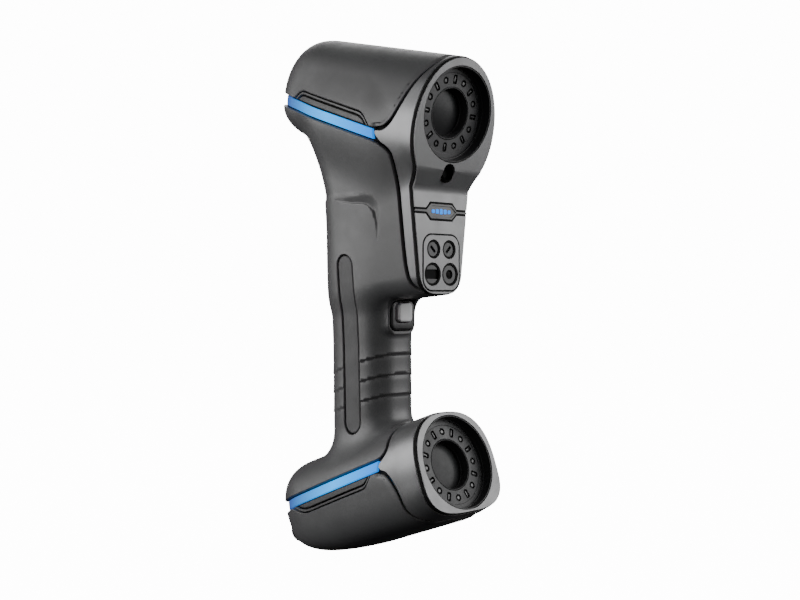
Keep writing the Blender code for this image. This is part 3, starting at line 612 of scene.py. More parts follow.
# ---- materials ----
# finish: colour, roughness, metallic, grain size mm, grain height mm, colour spread, roughness spread
FINISHES = {
    "shell": ((0.080, 0.080, 0.082), 0.42, 0.0, 0.45, 0.010, 0.10, 0.04),
    # the liner finish is near black: painted shade that stands in for the shadow inside seams and behind
    # vents
    "liner": ((0.006, 0.006, 0.006), 0.8, 0.0, 0.6, 0.02, 0.1, 0.05),
    "frame": ((0.172, 0.172, 0.175), 0.36, 0.6, 0.25, 0.004, 0.06, 0.04),
    "plate": ((0.17, 0.17, 0.173), 0.42, 0.35, 0.25, 0.004, 0.06, 0.04),
    "grip": ((0.070, 0.070, 0.072), 0.62, 0.0, 0.7, 0.05, 0.12, 0.06),
    "dark": ((0.018, 0.018, 0.019), 0.42, 0.0, 0.4, 0.010, 0.10, 0.06),
    "led_plate": ((0.027, 0.027, 0.029), 0.55, 0.0, 0.4, 0.012, 0.10, 0.06),
    "trigger": ((0.55, 0.55, 0.555), 0.45, 0.0, 0.4, 0.010, 0.06, 0.05),
    "vent": ((0.045, 0.045, 0.046), 0.5, 0.0, 0.7, 0.03, 0.12, 0.05),
    "badge": ((0.060, 0.060, 0.062), 0.45, 0.2, 0.25, 0.004, 0.06, 0.04),
    "window": ((0.040, 0.040, 0.042), 0.5, 0.0, 0.4, 0.003, 0.08, 0.05),
    "black": ((0.0025, 0.0025, 0.0025), 0.75, 0.0, 0.5, 0.010, 0.1, 0.05),
    "led": ((0.030, 0.030, 0.032), 0.3, 0.0, 0.4, 0.004, 0.06, 0.05),
    "board": ((0.008, 0.022, 0.016), 0.5, 0.0, 1.5, 0.010, 0.5, 0.10),
    "alloy": ((0.55, 0.56, 0.58), 0.38, 1.0, 0.5, 0.010, 0.08, 0.10),
    "steel": ((0.50, 0.50, 0.52), 0.30, 1.0, 0.4, 0.006, 0.08, 0.08),
}
CLOUD_SIZE, SMEAR_SIZE = 28.0, 9.0


class Nodes:
    """A new material, with short calls for making and wiring its nodes."""

    def __init__(self, name):
        self.material = bpy.data.materials.new(name)
        self.material.use_nodes = True
        self.tree = self.material.node_tree
        self.shader = self.tree.nodes["Principled BSDF"]

    def give(self, node, inputs):
        """Set each input to a value, or wire another node's output to it."""
        for key, value in inputs.items():
            if isinstance(value, bpy.types.NodeSocket):
                self.tree.links.new(value, node.inputs[key])
            else:
                node.inputs[key].default_value = value

    def shade(self, inputs):
        self.give(self.shader, inputs)

    def new(self, kind, inputs=None, **settings):
        node = self.tree.nodes.new(kind)
        for key, value in settings.items():
            setattr(node, key, value)
        self.give(node, inputs or {})
        return node

    def place(self):
        return self.new("ShaderNodeTexCoord").outputs["Object"]

    def noise(self, size, detail):
        """A noise pattern with features about `size` mm across, fixed to the object."""
        inputs = {"Vector": self.place(), "Scale": 1 / MM / size, "Detail": detail}
        return self.new("ShaderNodeTexNoise", inputs).outputs["Fac"]

    def mapped(self, source, low, high, source_low=0.3, source_high=0.7):
        inputs = {"Value": source, "From Min": source_low, "From Max": source_high,
                  "To Min": low, "To Max": high}
        return self.new("ShaderNodeMapRange", inputs).outputs["Result"]

    def maths(self, operation, a, b):
        return self.new("ShaderNodeMath", {0: a, 1: b}, operation=operation).outputs[0]

    def mix(self, factor, a, b, blend="MIX"):
        inputs = {"Factor": factor, "A": a, "B": b}
        return self.new("ShaderNodeMix", inputs, data_type="RGBA", blend_type=blend).outputs["Result"]


def opaque_finish(nodes, finish):
    """Moulded, painted or metal: faint clouds and grain in the colour, and a painted highlight that makes a
    shell's rim paler.
    """
    colour, rough, metal, grain, height, spread, rough_spread = FINISHES[finish]
    low, high = ((*(c * k for c in colour), 1) for k in (1 - spread, 1 + spread))
    # painted highlight: a paler colour on the rim, standing in for light caught by the bevelled edge
    rim_highlight = (*(min(c * 1.6 + 0.01, 1) for c in colour), 1)
    cloud, fine, smear = nodes.noise(CLOUD_SIZE, 4.0), nodes.noise(grain, 2.0), nodes.noise(SMEAR_SIZE, 5.0)
    tint = nodes.mix(nodes.maths("ADD", nodes.mapped(cloud, 0, 0.6), nodes.mapped(fine, 0, 0.4)), low, high)
    rim = nodes.new("ShaderNodeAttribute", attribute_name="rim", attribute_type="GEOMETRY").outputs["Fac"]
    bump = nodes.new("ShaderNodeBump", {"Strength": 1.0, "Distance": height * MM, "Height": fine})
    nodes.shade({"Base Color": nodes.mix(nodes.mapped(rim, 0, 0.5, 0, 1), tint, rim_highlight), "Metallic": metal,
                 "Roughness": nodes.mapped(smear, rough - rough_spread, rough + rough_spread),
                 "Normal": bump.outputs["Normal"]})
    if finish in ("black", "liner"):
        nodes.shade({"Specular IOR Level": 0.12})


def light_finish(nodes, _finish):
    """A milky blue that glows, light from the front to the middle of a strip and dull at the rear."""
    split = nodes.new("ShaderNodeSeparateXYZ", {"Vector": nodes.place()})
    colour = nodes.new("ShaderNodeValToRGB", {"Fac": nodes.mapped(split.outputs["Y"], 0, 1, -0.034, 0.06)})
    stops = colour.color_ramp.elements
    stops[0].color, stops[1].color = (0.0, 0.21, 0.80, 1), (0.02, 0.03, 0.12, 1)
    stops.new(0.40).color = (0.01, 0.38, 1.0, 1)
    stops.new(0.85).color = (0.03, 0.08, 0.27, 1)
    grain = nodes.noise(0.8, 2.0)
    milky = nodes.mix(0.12, colour.outputs["Color"], grain, "MULTIPLY")
    nodes.shade({"Base Color": milky, "Emission Color": milky, "Emission Strength": 1.35,
                 "Specular IOR Level": 0.1, "Roughness": nodes.mapped(grain, 0.45, 0.55)})


def glass_finish(nodes, _finish):
    """Coated dark optics, near black, with painted shade that makes the colour a little darker where the
    surface turns away from the view.
    """
    facing_away = nodes.new("ShaderNodeLayerWeight", {"Blend": 0.35}).outputs["Facing"]
    cloud = nodes.noise(6.0, 2.0)
    # painted shade: the base colour darkens where the surface turns away from the view
    turned_away_shade = nodes.mix(nodes.maths("MULTIPLY", facing_away, nodes.mapped(cloud, 0.85, 1.0)),
                      (0.014, 0.014, 0.015, 1), (0.006, 0.006, 0.007, 1))
    nodes.shade({"Base Color": turned_away_shade, "Roughness": nodes.mapped(cloud, 0.38, 0.44),
                 "Specular IOR Level": 0.16, "Coat Weight": 0.04, "Coat Roughness": 0.12})


def material_for(finish):
    """The material of a finish, made when it is first asked for."""
    name = "finish_" + finish
    if name not in bpy.data.materials:
        {"light": light_finish, "glass": glass_finish}.get(finish, opaque_finish)(Nodes(name), finish)
    return bpy.data.materials[name]


# ---- objects ----
def link(name, mesh, finish):
    mesh.materials.append(material_for(finish))
    obj = bpy.data.objects.new(name, mesh)
    bpy.context.collection.objects.link(obj)
    return obj


def from_bmesh(name, bm, finish, place=None, smooth=35):
    """An object from a mesh in millimetres, with `place` setting it (translation in mm)."""
    if place is not None:
        bmesh.ops.transform(bm, matrix=place, verts=bm.verts)
    bmesh.ops.scale(bm, vec=(MM, MM, MM), verts=bm.verts)
    mesh = bpy.data.meshes.new(name)
    bm.to_mesh(mesh)
    bm.free()
    mesh.shade_smooth()
    mesh.set_sharp_from_angle(angle=radians(smooth))
    return link(name, mesh, finish)


def ride(obj, *replaced, body="scanner"):
    """Put a piece on its body. A piece called NODE_fine replaces the CAD's NODE."""
    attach(obj, body)
    if obj.name.endswith("_fine"):
        replaced = (obj.name.removesuffix("_fine"),)
    if replaced:
        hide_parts(*replaced)


def soften(obj, width, segments=2, angle=35):
    """Round off the sharp edges."""
    bevel = obj.modifiers.new("soft_edges", "BEVEL")
    bevel.width = width * MM
    bevel.segments = segments
    bevel.limit_method = "ANGLE"
    bevel.angle_limit = radians(angle)
    bevel.harden_normals = True
    return obj


def cut(obj, *cutters):
    """Subtract the cutters and remove them."""
    for cutter in cutters:
        boolean = obj.modifiers.new("cut", "BOOLEAN")
        boolean.operation = "DIFFERENCE"
        boolean.solver = "EXACT"
        boolean.object = cutter
    graph = bpy.context.evaluated_depsgraph_get()
    mesh = bpy.data.meshes.new_from_object(obj.evaluated_get(graph), depsgraph=graph)
    obj.modifiers.clear()
    obj.data = mesh
    for cutter in cutters:
        bpy.data.objects.remove(cutter)
    mesh.shade_smooth()
    mesh.set_sharp_from_angle(angle=radians(35))


def turned(name, finish, place, profile, sides=96):
    """A closed (radius, height) profile turned about Z."""
    bm = bmesh.new()
    rings = []
    for radius, height in profile:
        turn = [2 * pi * (i + 0.3) / sides for i in range(sides)] if radius else [0]
        rings.append([bm.verts.new((radius * cos(a), radius * sin(a), height)) for a in turn])
    hollow = all(radius for radius, _ in profile)
    pairs = list(zip(rings, rings[1:])) + ([(rings[-1], rings[0])] if hollow else [])
    for low, high in pairs:
        for i in range(sides):
            j = (i + 1) % sides
            corners = [low[i % len(low)], low[j % len(low)], high[j % len(high)], high[i % len(high)]]
            bm.faces.new(list(dict.fromkeys(corners)))
    bmesh.ops.recalc_face_normals(bm, faces=bm.faces)
    return from_bmesh(name, bm, finish, place)


def stacked_bm(loops, bm=None, place=Matrix()):
    """A closed form through outlines with the same number of points, low to high."""
    bm = bm or bmesh.new()
    rings = [[bm.verts.new(place @ Vector(point)) for point in loop] for loop in loops]
    bm.faces.new(rings[0][::-1])
    bm.faces.new(rings[-1])
    for low, high in zip(rings, rings[1:]):
        for i in range(len(low)):
            j = (i + 1) % len(low)
            bm.faces.new((low[i], low[j], high[j], high[i]))
    return bm


def levels(outline_of, steps):
    """Outlines at (inset, height) steps."""
    return [[(x, y, height) for x, y in outline_of(inset)] for inset, height in steps]


def rounded(half_w, half_h, radius, steps=8):
    """A rectangle with round corners, anticlockwise."""
    corners = ((1, 1, 0), (-1, 1, 1), (-1, -1, 2), (1, -1, 3))
    return [(sx * (half_w - radius) + radius * cos((q + i / steps) * pi / 2),
             sy * (half_h - radius) + radius * sin((q + i / steps) * pi / 2))
            for sx, sy, q in corners for i in range(steps + 1)]


def pillow(half_w, half_h, radius, steps=8):
    """Outline function of a rounded rectangle for `levels`."""
    return lambda inset: rounded(half_w - inset, half_h - inset, max(radius - inset, 0.05), steps)


def prism(name, finish, place, outline, low, high):
    return from_bmesh(name, stacked_bm([[(x, y, z) for x, y in outline] for z in (low, high)]), finish, place)


def block(place, outline, low=-6, high=6):
    """A straight cutter."""
    return prism("cutter", "dark", place, outline, low, high)


def plug(place, radius, sides=96):
    """A round cutter."""
    return turned("cutter", "dark", place, [(0, -14), (radius, -14), (radius, 14), (0, 14)], sides)


def facing(y, z, x=0.0):
    """A frame on the front, local Z towards -Y and local Y up."""
    return Matrix(((1, 0, 0, x), (0, 0, -1, y), (0, 1, 0, z), (0, 0, 0, 1)))


def facing_rear(y, z):
    """A frame on the rear, local Z towards +Y and local Y up."""
    return Matrix(((-1, 0, 0, 0), (0, 0, 1, y), (0, 1, 0, z), (0, 0, 0, 1)))


# ---- shells ----
HEAD_AREA = dict(low=(-40, -80, 84), high=(41, 72, 194))
BASE_AREA = dict(low=(-40, -80, -136), high=(41, 72, -22))
MAIN_AREA = dict(low=(-40, -66, -112), high=(41, 72, 158))
NECK_AREA = dict(low=(-40, -70, 22), high=(41, 72, 150))
FRONT_AREA = dict(low=(-40, -80, -136), high=(41, -40, 194))
HEAD_FRAME_AREA = dict(low=(-40, -80, 22), high=(41, -25, 194))
BASE_FRAME_AREA = dict(low=(-40, -80, -110), high=(41, -25, -20))
KEYPAD_AREA = dict(low=(-12, 10, 36), high=(12, 40, 88))
SIDES = ((-1, "left"), (1, "right"))

# strip, side, then for each end where it would meet the strip's centre line and how much it leans inwards
VENTS = {"head": (head_strip_z, 1, (-35.6, 0.8), (41.5, 1.25)),
         "base": (base_strip_z, -1, (-32.9, 0.6), (49.0, 2.0))}
VENT_ROUND = 2.4
VENT_NOTCH = (1.0, 10.6)       # from and to this far from the strip's centre line
FACE_GAP = 0.75                # between a front plate and the edge of the mouldings behind it


def vent(unit_name, near, far, shrink=0.0):
    """Distances that bound a vent: from a strip outwards, and its far side with the rounded, leaning ends."""
    strip_z, side, (front, front_lean), (rear, rear_lean) = VENTS[unit_name]

    def above(x, y, z):
        return side * (z - strip_z(y)) - near

    def outline(x, y, z):
        height = side * (z - strip_z(y))
        at_front = (y - front - front_lean * height) / sqrt(1 + front_lean ** 2) - shrink
        at_rear = (rear - y - rear_lean * height) / sqrt(1 + rear_lean ** 2) - shrink
        return smooth_min(smooth_min(far - height, at_front, VENT_ROUND), at_rear, VENT_ROUND)
    return [above, outline]


def socket_place():
    """The cable's locking socket, parallel to the base at its rear; its origin is on the shell."""
    y, z = BASE.point(SOCKET_UP, 60)
    back = (0, cos(BASE.down), sin(BASE.down))
    depth = 60 + edge_of_body((0, y, z), back, reach=120)
    return BASE.matrix @ Matrix.Translation((0, SOCKET_UP, -depth)) @ Matrix.Rotation(pi, 4, "X")


def make_cover(name, edge, front, holes, area):
    """A cover with a shallow step beside the front part of its seam."""
    at_front = [lambda x, y, z: -34 - y]
    steps = [(offset(edge, by), at_front) for by in (STEP_AT, STEP_AT + STEP_WIDE)]
    skin(name, "shell", 0, [edge, front], holes, lines=steps, sunk=step_beside(edge), **area)


def make_shells(socket):
    front = behind_face(PLATE + FACE_GAP)
    make_cover("head_top_cover_fine", shell_edge(COVER_CURVE, -1), front,
               [vent("head", *VENT_NOTCH)], HEAD_AREA)

    on_grip = between(2, -60, 20)
    on_flute = between(1, -31, 6.5) + between(2, 60, 88)
    lines = [(offset(rib, by), on_grip) for rib in RIBS for by in (0, -0.45)]
    lines += [(inner_flute, on_flute), (offset(inner_flute, FLUTE_LIP), on_flute), (outer_flute, on_flute)]
    holes = [[pad_distance(-0.3)], [keypad_distance(-0.4)], [bezel_distance(0)]]
    skin("main_shell_fine", "shell", 0, [shell_edge(NECK_CURVE, 1), shell_edge(GRIP_CURVE, -1), front], holes,
         lines=lines, shape=skin_field, sunk=relief, **MAIN_AREA)

    hole = round_hole(socket, SOCKET_R + 0.4, lambda x, y, z: y > 20)
    make_cover("base_bottom_cover_fine", shell_edge(BASE_COVER_CURVE, 1), front,
               [vent("base", *VENT_NOTCH), [hole]], BASE_AREA)

    for unit_name, curve, area in (("head", HEAD_FRAME_CURVE, HEAD_FRAME_AREA),
                                   ("base", BASE_FRAME_CURVE, BASE_FRAME_AREA)):
        edge = offset(side_distance(curve), SEAM, -1)
        skin(unit_name + "_front_frame_fine", "frame", 0, [edge, front], cell=1.2, **area)


def make_strips():
    """The two light strips, each one piece round the rear of its housing."""
    half = STRIP_HALF - 0.3
    for unit_name, strip_z, area in (("head", head_strip_z, HEAD_AREA), ("base", base_strip_z, BASE_AREA)):
        edges = [lambda x, y, z, s=strip_z: z - s(y) + half,
                 lambda x, y, z, s=strip_z: s(y) + half - z,
                 lambda x, y, z: y + 33.8]
        skin(unit_name + "_light_strip_fine", "light", 1.0, edges, cell=1.2, rim=0.3, wall=1.6, **area)


def make_vents():
    """Vent inserts in the notches beside the strips, each a plate inside a thin frame."""
    for unit_name, area in (("head", HEAD_AREA), ("base", BASE_AREA)):
        for sign, side in SIDES:
            name = f"{unit_name}_vent_{side}"
            ends = dict(low=(0.0, *area["low"][1:])) if sign > 0 else dict(high=(-1.0, *area["high"][1:]))
            half = {**area, **ends}
            one = beyond(sign, 8.0)
            skin(name + "_plate", "vent", 0.55, vent(unit_name, 4.0, 7.2, 3.0) + [one], cell=1.0, rim=0.3,
                 wall=1.4, replaced=(name,), **half)
            skin(name + "_frame", "shell", 0.35, vent(unit_name, 3.9, 9.6, 0.9) + [one],
                 [vent(unit_name, 1.0, 8.4, 1.9)], cell=1.0, rim=0.2, wall=1.5, **half)
            # a near-black back behind the vent's gaps: painted shade for the dark inside
            skin(name + "_back", "liner", 2.0, vent(unit_name, 3.4, 12.0, -2.0) + [one], cell=2.0, rim=0,
                 wall=0.7, **half)


def make_pads():
    for sign, side in SIDES:
        low, high = (0.0 if sign > 0 else -24, -12, -56), (24 if sign > 0 else -1, 14, 56)
        skin(f"grip_pad_{side}_fine", "grip", 0.5, [pad_distance(0.55), beyond(sign, 5.0)], cell=1.0,
             rim=0.5, wall=2.0, low=low, high=high)


def make_shadow_liners():
    """Lips behind the open seams, as where two mouldings overlap, near black as painted shade for the shadow
    inside the seams.
    """
    lip = dict(cell=2.2, rim=0, wall=0.8)
    inside = behind_face(PLATE + 1.0)
    for name, curve, area in (("cover", COVER_CURVE, HEAD_AREA), ("neck", NECK_CURVE, NECK_AREA),
                              ("head_top", HEAD_TOP_SEAM, HEAD_AREA), ("base_top", GRIP_CURVE, BASE_AREA),
                              ("base_low", BASE_COVER_CURVE, BASE_AREA)):
        distance = side_distance(curve)
        edges = [offset(distance, -2.6), offset(distance, -2.6, -1), inside]
        skin("seam_lip_" + name, "liner", 2.75, edges, **lip, **area)
    face = behind_face(0)
    cones = [[round_hole(camera.matrix, 27.2, lambda x, y, z, s=sign: s * z > 0)]
             for camera, sign in ((HEAD, 1), (BASE, -1))]
    edges = [offset(face, 0.3), offset(face, -6.0, -1)]
    skin("seam_lip_front", "liner", 2.6, edges, cones, **lip, **FRONT_AREA)
    edges = [offset(face, 0.8), offset(face, -PLATE - 0.6, -1)]
    skin("face_gasket", "black", 0.3, edges, cell=1.2, rim=0, wall=0.3, **FRONT_AREA)


# ---- front plates ----
def sheet_y(z):
    """Front of the head face, fold and chin panel at height z."""
    face = FACE_Y + (HEAD.z - z) * tan(HEAD.down)
    low_face = FACE_Y + (HEAD.z - FOLD_TOP) * tan(HEAD.down)
    fold = PANEL_Y + (z - FOLD_LOW) / (FOLD_TOP - FOLD_LOW) * (low_face - PANEL_Y)
    return np.where(z > FOLD_TOP, face, np.where(z > FOLD_LOW, fold, PANEL_Y))


def base_y(z):
    return FACE_Y - (BASE.z - z) * tan(-BASE.down)


def face_end(tilted, sign):
    """Height where a lens face meets the body's outside, above (1) or below (-1) its lens."""
    up = (0, -sign * sin(tilted.down), sign * cos(tilted.down))
    return tilted.point(sign * edge_of_body((0, *tilted.point(0, 0)), up, -PLATE_INSET), 0)[1]


def eased(low, high, count, ease_low, ease_high):
    """Heights from low to high, closer together at the end or ends that are eased."""
    t = np.linspace(0, 1, count)
    if ease_low and ease_high:
        t = (1 - np.cos(pi * t)) / 2
    elif ease_low:
        t = 1 - np.cos(pi * t / 2)
    else:
        t = np.sin(pi * t / 2)
    return low + (high - low) * t


def front_plate(name, heights, y_of, *cutters):
    """A bent plate as wide as the body at each height, facing forwards, with its holes cut."""
    bm = bmesh.new()
    rows = []
    for z in heights:
        y = float(y_of(z))
        half = edge_of_body((0, y, z), (1, 0, 0), -PLATE_INSET)
        xs = (-half, half) if half > 0.4 else (0.0,)
        rows.append([bm.verts.new((x, y, z)) for x in xs])
    for low, high in zip(rows, rows[1:]):
        bm.faces.new(low + high[::-1])
    obj = from_bmesh(name, bm, "plate")
    solid = obj.modifiers.new("thickness", "SOLIDIFY")
    solid.thickness = PLATE * MM
    solid.offset = -1
    solid.use_even_offset = True
    cut(obj, *cutters)
    ride(soften(obj, 0.4, 3))


def badge_outline(grow, bars, bar=BADGE_BAR):
    """The badge's long hexagon, with its two thin side bars if `bars`."""
    w, f, h, b = BADGE_HALF_W + grow, BADGE_FLAT + grow / 2, BADGE_HALF_H + grow, bar
    if not bars:
        return [(w, 0), (f, h), (-f, h), (-w, 0), (-f, -h), (f, -h)]
    end = edge_of_body((0, PANEL_Y, BADGE_Z), (1, 0, 0), -PLATE_INSET - 0.1)
    meet = w - (w - f) * b / h
    upper = [(end, b), (meet, b), (f, h), (-f, h), (-meet, b), (-end, b)]
    return upper + [(-x, -z) for x, z in upper]


def laser_outline(grow):
    return rounded(LASER_HALF_W + grow, LASER_HALF_H + grow, 6.5 + grow, 16)


BADGE_GROOVE, LASER_GROOVE = 1.2, 0.95
BADGE_SEAM = BADGE_BAR + BADGE_GROOVE
BADGE_PLACE, LASER_PLACE = facing(PANEL_Y, BADGE_Z), facing(PANEL_Y, LASER_Z)
SENSOR_PLACE = facing(float(sheet_y(SENSOR_Z)), SENSOR_Z)
LOOSE = 0.02                   # air between a gasket and what it surrounds


def make_gasket(name, place, outline, inner):
    """The dark bed of the groove round a plate that is set into the chin."""
    bed = prism(name, "black", place, outline, -PLATE, -0.3)
    cut(bed, block(place, inner))
    ride(bed)


def make_front_plates():
    hexagon = badge_outline(BADGE_GROOVE, False)
    heights = [BADGE_Z + BADGE_SEAM, *np.linspace(78, FOLD_LOW, 5), *np.linspace(FOLD_LOW, FOLD_TOP, 6)[1:-1],
               *eased(FOLD_TOP, face_end(HEAD, 1), 64, False, True)]
    front_plate("head_face_plate_fine", heights, sheet_y, plug(HEAD.matrix, OPENING_R, 128),
                plug(SENSOR_PLACE, SENSOR_R + 0.2), block(BADGE_PLACE, hexagon))
    low = LASER_Z - edge_of_body((0, PANEL_Y, LASER_Z), (0, 0, -1), -PLATE_INSET)
    heights = [*eased(low, 42.0, 30, True, False), *np.linspace(44, 72, 10), BADGE_Z - BADGE_SEAM]
    front_plate("chin_plate_fine", heights, sheet_y, block(LASER_PLACE, laser_outline(LASER_GROOVE)),
                block(BADGE_PLACE, hexagon))
    heights = eased(face_end(BASE, -1), face_end(BASE, 1), 90, True, True)
    front_plate("base_face_plate_fine", heights, base_y, plug(BASE.matrix, OPENING_R, 128))


def make_sensor():
    """The small sensor: a black tunnel with a domed window at its end."""
    window = [(0, -5.6), (SENSOR_R, -5.6), (SENSOR_R, -4.6), (3.4, -4.2), (2.2, -3.7), (0, -3.5)]
    ride(turned("sensor_window_fine", "black", SENSOR_PLACE, window, 64))
    inner, outer = SENSOR_R + 0.05, SENSOR_R + 1.2
    tunnel = [(inner, -0.9), (outer, -1.9), (outer, -6.2), (inner, -6.2)]
    ride(turned("sensor_tunnel", "black", SENSOR_PLACE, tunnel, 64))


def make_badge():
    """The hexagonal badge: a dished plate with plain lozenges where the real one has its lettering."""
    badge = prism("status_badge_fine", "badge", BADGE_PLACE, badge_outline(0, True), -PLATE, 0.25)
    field = badge_outline(-0.9, False)
    dish = levels(lambda inset: [(x * (1 - inset / 9), z * (1 - inset / 3.4)) for x, z in field],
                  ((0.25, -0.15), (0, 1.0)))
    cut(badge, from_bmesh("cutter", stacked_bm(dish), "dark", BADGE_PLACE))
    ride(soften(badge, 0.18))
    make_gasket("badge_gasket", BADGE_PLACE, badge_outline(BADGE_GROOVE, True, BADGE_SEAM),
                badge_outline(LOOSE, True))
    marks = bmesh.new()
    for number in range(-2, 3):
        shape = pillow(1.15, 1.0 + 0.25 * (2 - abs(number)), 0.5, 4)
        stacked_bm(levels(shape, ((0, -0.3), (0, -0.05), (0.2, 0.1))), marks,
                   Matrix.Translation((number * 3.2, 0, 0)))
    ride(from_bmesh("status_marks", marks, "light", BADGE_PLACE))


# ---- laser plate ----
LASER_WINDOWS = {
    "laser_window_left": (-6.3, 54.7, 5.2),
    "laser_window_right": (6.3, 54.7, 5.2),
    "projector_window": (-7.1, 40.7, 6.4),
    "colour_camera_window": (7.1, 40.7, 6.4),
}
RECESS = -1.45                 # floor of the openings in the windows


def make_laser_plate():
    plate = prism("laser_plate_fine", "plate", LASER_PLACE, laser_outline(0), -PLATE, 0.15)
    cut(plate, *[plug(facing(PANEL_Y, z, x), radius + 0.1) for x, z, radius in LASER_WINDOWS.values()])
    ride(soften(plate, 0.35, 3))
    make_gasket("laser_gasket", LASER_PLACE, laser_outline(LASER_GROOVE), laser_outline(LOOSE))
    for name, (x, z, radius) in LASER_WINDOWS.items():
        place = facing(PANEL_Y, z, x)
        rim = [(radius, -1.9), (radius, -0.35), (radius - 0.25, -0.1), (radius - 1.0, -0.1),
               (radius - 1.2, -0.4), (radius - 1.2, -1.9)]
        ride(turned(name + "_ring", "black", place, rim))
        disc_r = radius - 1.25
        profile = [(0, -1.85), (disc_r, -1.85), (disc_r, -0.55), (0, -0.55)]
        disc = turned(name + "_fine", "window", place, profile)
        at, opening = place, rounded(2.6, 2.6, 2.59, 12)
        if name.startswith("laser"):
            at = place @ Matrix.Rotation(radians(45 if x < 0 else -45), 4, "Z")
            opening = rounded(0.8, 2.5, 0.3, 3)
        inner = [(p * 0.98, q * 0.98) for p, q in opening]
        if name == "projector_window":
            opening, inner = rounded(disc_r + 1, 2.7, 0.4, 3), rounded(disc_r - 0.45, 2.6, 0.4, 3)
        cut(disc, block(at, opening, RECESS, 3))
        ride(soften(disc, 0.12, 2, 50))
        ride(prism(name + "_slot", "black", at, inner, RECESS + 0.01, RECESS + 0.1))
    lens = [(0, -1.34), (1.7, -1.34), (1.4, -1.15), (0.9, -1.02), (0, -0.98)]
    ride(turned("colour_camera_lens", "black", place, lens, 48))


# ---- camera units ----
SLOT_SHAPE, HOLE_SHAPE = (2.6, 1.5, 0.95), (2.0, 2.0, 1.99)
LED_COUNT = 16


def make_camera(unit_name, tilted, first_is_slot):
    """A camera unit: cone, plate with the LED openings, barrel and lens, all seen through the face."""
    place, floor = tilted.matrix, -LED_DEPTH
    cone = [(26.35, -0.25), (26.35, floor - 2.4), (23.0, floor - 2.4), (23.0, floor - 2.1),
            (25.0, floor - 2.1), (25.0, floor + 0.55), (25.15, floor + 0.7), (25.45, floor + 0.7),
            (25.6, floor + 0.85), (25.95, -0.25)]
    ride(soften(turned(unit_name + "_lens_cone_fine", "led_plate", place, cone, 128), 0.12))

    ring = [(24.9, floor - 1.7), (24.9, floor), (22.6, floor), (22.3, floor - 0.25), (14.75, floor - 0.25),
            (14.75, floor - 1.7)]
    plate = turned(unit_name + "_led_plate_fine", "led_plate", place, ring, 128)
    holes, beds, leds = bmesh.new(), bmesh.new(), bmesh.new()
    dome = [(0.92, floor - 0.99)]
    dome += [(0.92 + 0.25 * (1 - cos(a)), floor - 0.95 + 0.6 * sin(a)) for a in np.linspace(0, 1.35, 6)]
    for number in range(LED_COUNT):
        angle = pi / 2 + number * 2 * pi / LED_COUNT            # from twelve o'clock
        at = place @ Matrix.Rotation(angle, 4, "Z") @ Matrix.Translation((LED_CIRCLE_R, 0, 0))
        shape = pillow(*(SLOT_SHAPE if (number % 2 == 0) == first_is_slot else HOLE_SHAPE), 6)
        stacked_bm(levels(shape, ((0, floor - 4), (0, floor + 3))), holes, at)
        stacked_bm(levels(shape, ((0.03, floor - 3.2), (0.03, floor - 1.0))), beds, at)
        stacked_bm(levels(shape, dome), leds, at)
    cut(plate, from_bmesh("cutter", holes, "dark"))
    ride(soften(plate, 0.16))
    ride(from_bmesh(unit_name + "_led_beds", beds, "black"))
    ride(from_bmesh(unit_name + "_leds", leds, "led"))

    bore = LENS_BORE_R
    barrel_profile = [(bore, -30), (bore, floor - 0.5), (bore - 0.3, floor - 0.2), (14.0, floor - 0.2),
                      (13.8, floor - 0.5), (13.75, -11.6), (13.4, -12.0), (13.4, -30)]
    ride(soften(turned(unit_name + "_lens_barrel_fine", "led_plate", place, barrel_profile, 128), 0.1))
    edge_r, dome_r, edge = 13.3, 70.0, -12.0
    glass = [(0, -15), (edge_r, -15), (edge_r, edge)]
    glass += [(r, edge + (edge_r ** 2 - r ** 2) / (2 * dome_r)) for r in (*np.linspace(13.1, 1.2, 10), 0)]
    ride(turned(unit_name + "_lens_glass_fine", "glass", place, glass, 128))


# ---- trigger ----
def make_trigger():
    outer = pillow(9.45, 8.75, 4.0, 10)
    steps = ((0, -8.0), (0, -1.5), (0.12, -1.0), (0.4, -0.45), (0.85, -0.12), (1.3, 0))
    bezel = from_bmesh("trigger_bezel_fine", stacked_bm(levels(outer, steps)), "dark",
                       facing(BEZEL_FRONT, BEZEL_Z), 50)
    hole = rounded(TRIGGER_W / 2 + 0.55, TRIGGER_H / 2 + 0.55, 2.5, 10)
    cut(bezel, block(facing(BEZEL_FRONT, TRIGGER_Z), hole, -12))
    ride(soften(bezel, 0.3, 3, 60))
    face = pillow(TRIGGER_W / 2, TRIGGER_H / 2, 2.2, 10)
    steps = ((1.6, -8.0), (1.6, -11.2))             # a pocket for the spring when the button is pressed
    steps += ((0, -11.2), (0, -0.9), (0.1, -0.5), (0.35, -0.2), (0.75, -0.03), (1.2, 0), (3.2, -0.12))
    button = from_bmesh("trigger_button_fine", stacked_bm(levels(face, steps)), "trigger",
                        facing(TRIGGER_FRONT, TRIGGER_Z), 50)
    ride(button, body="trigger")


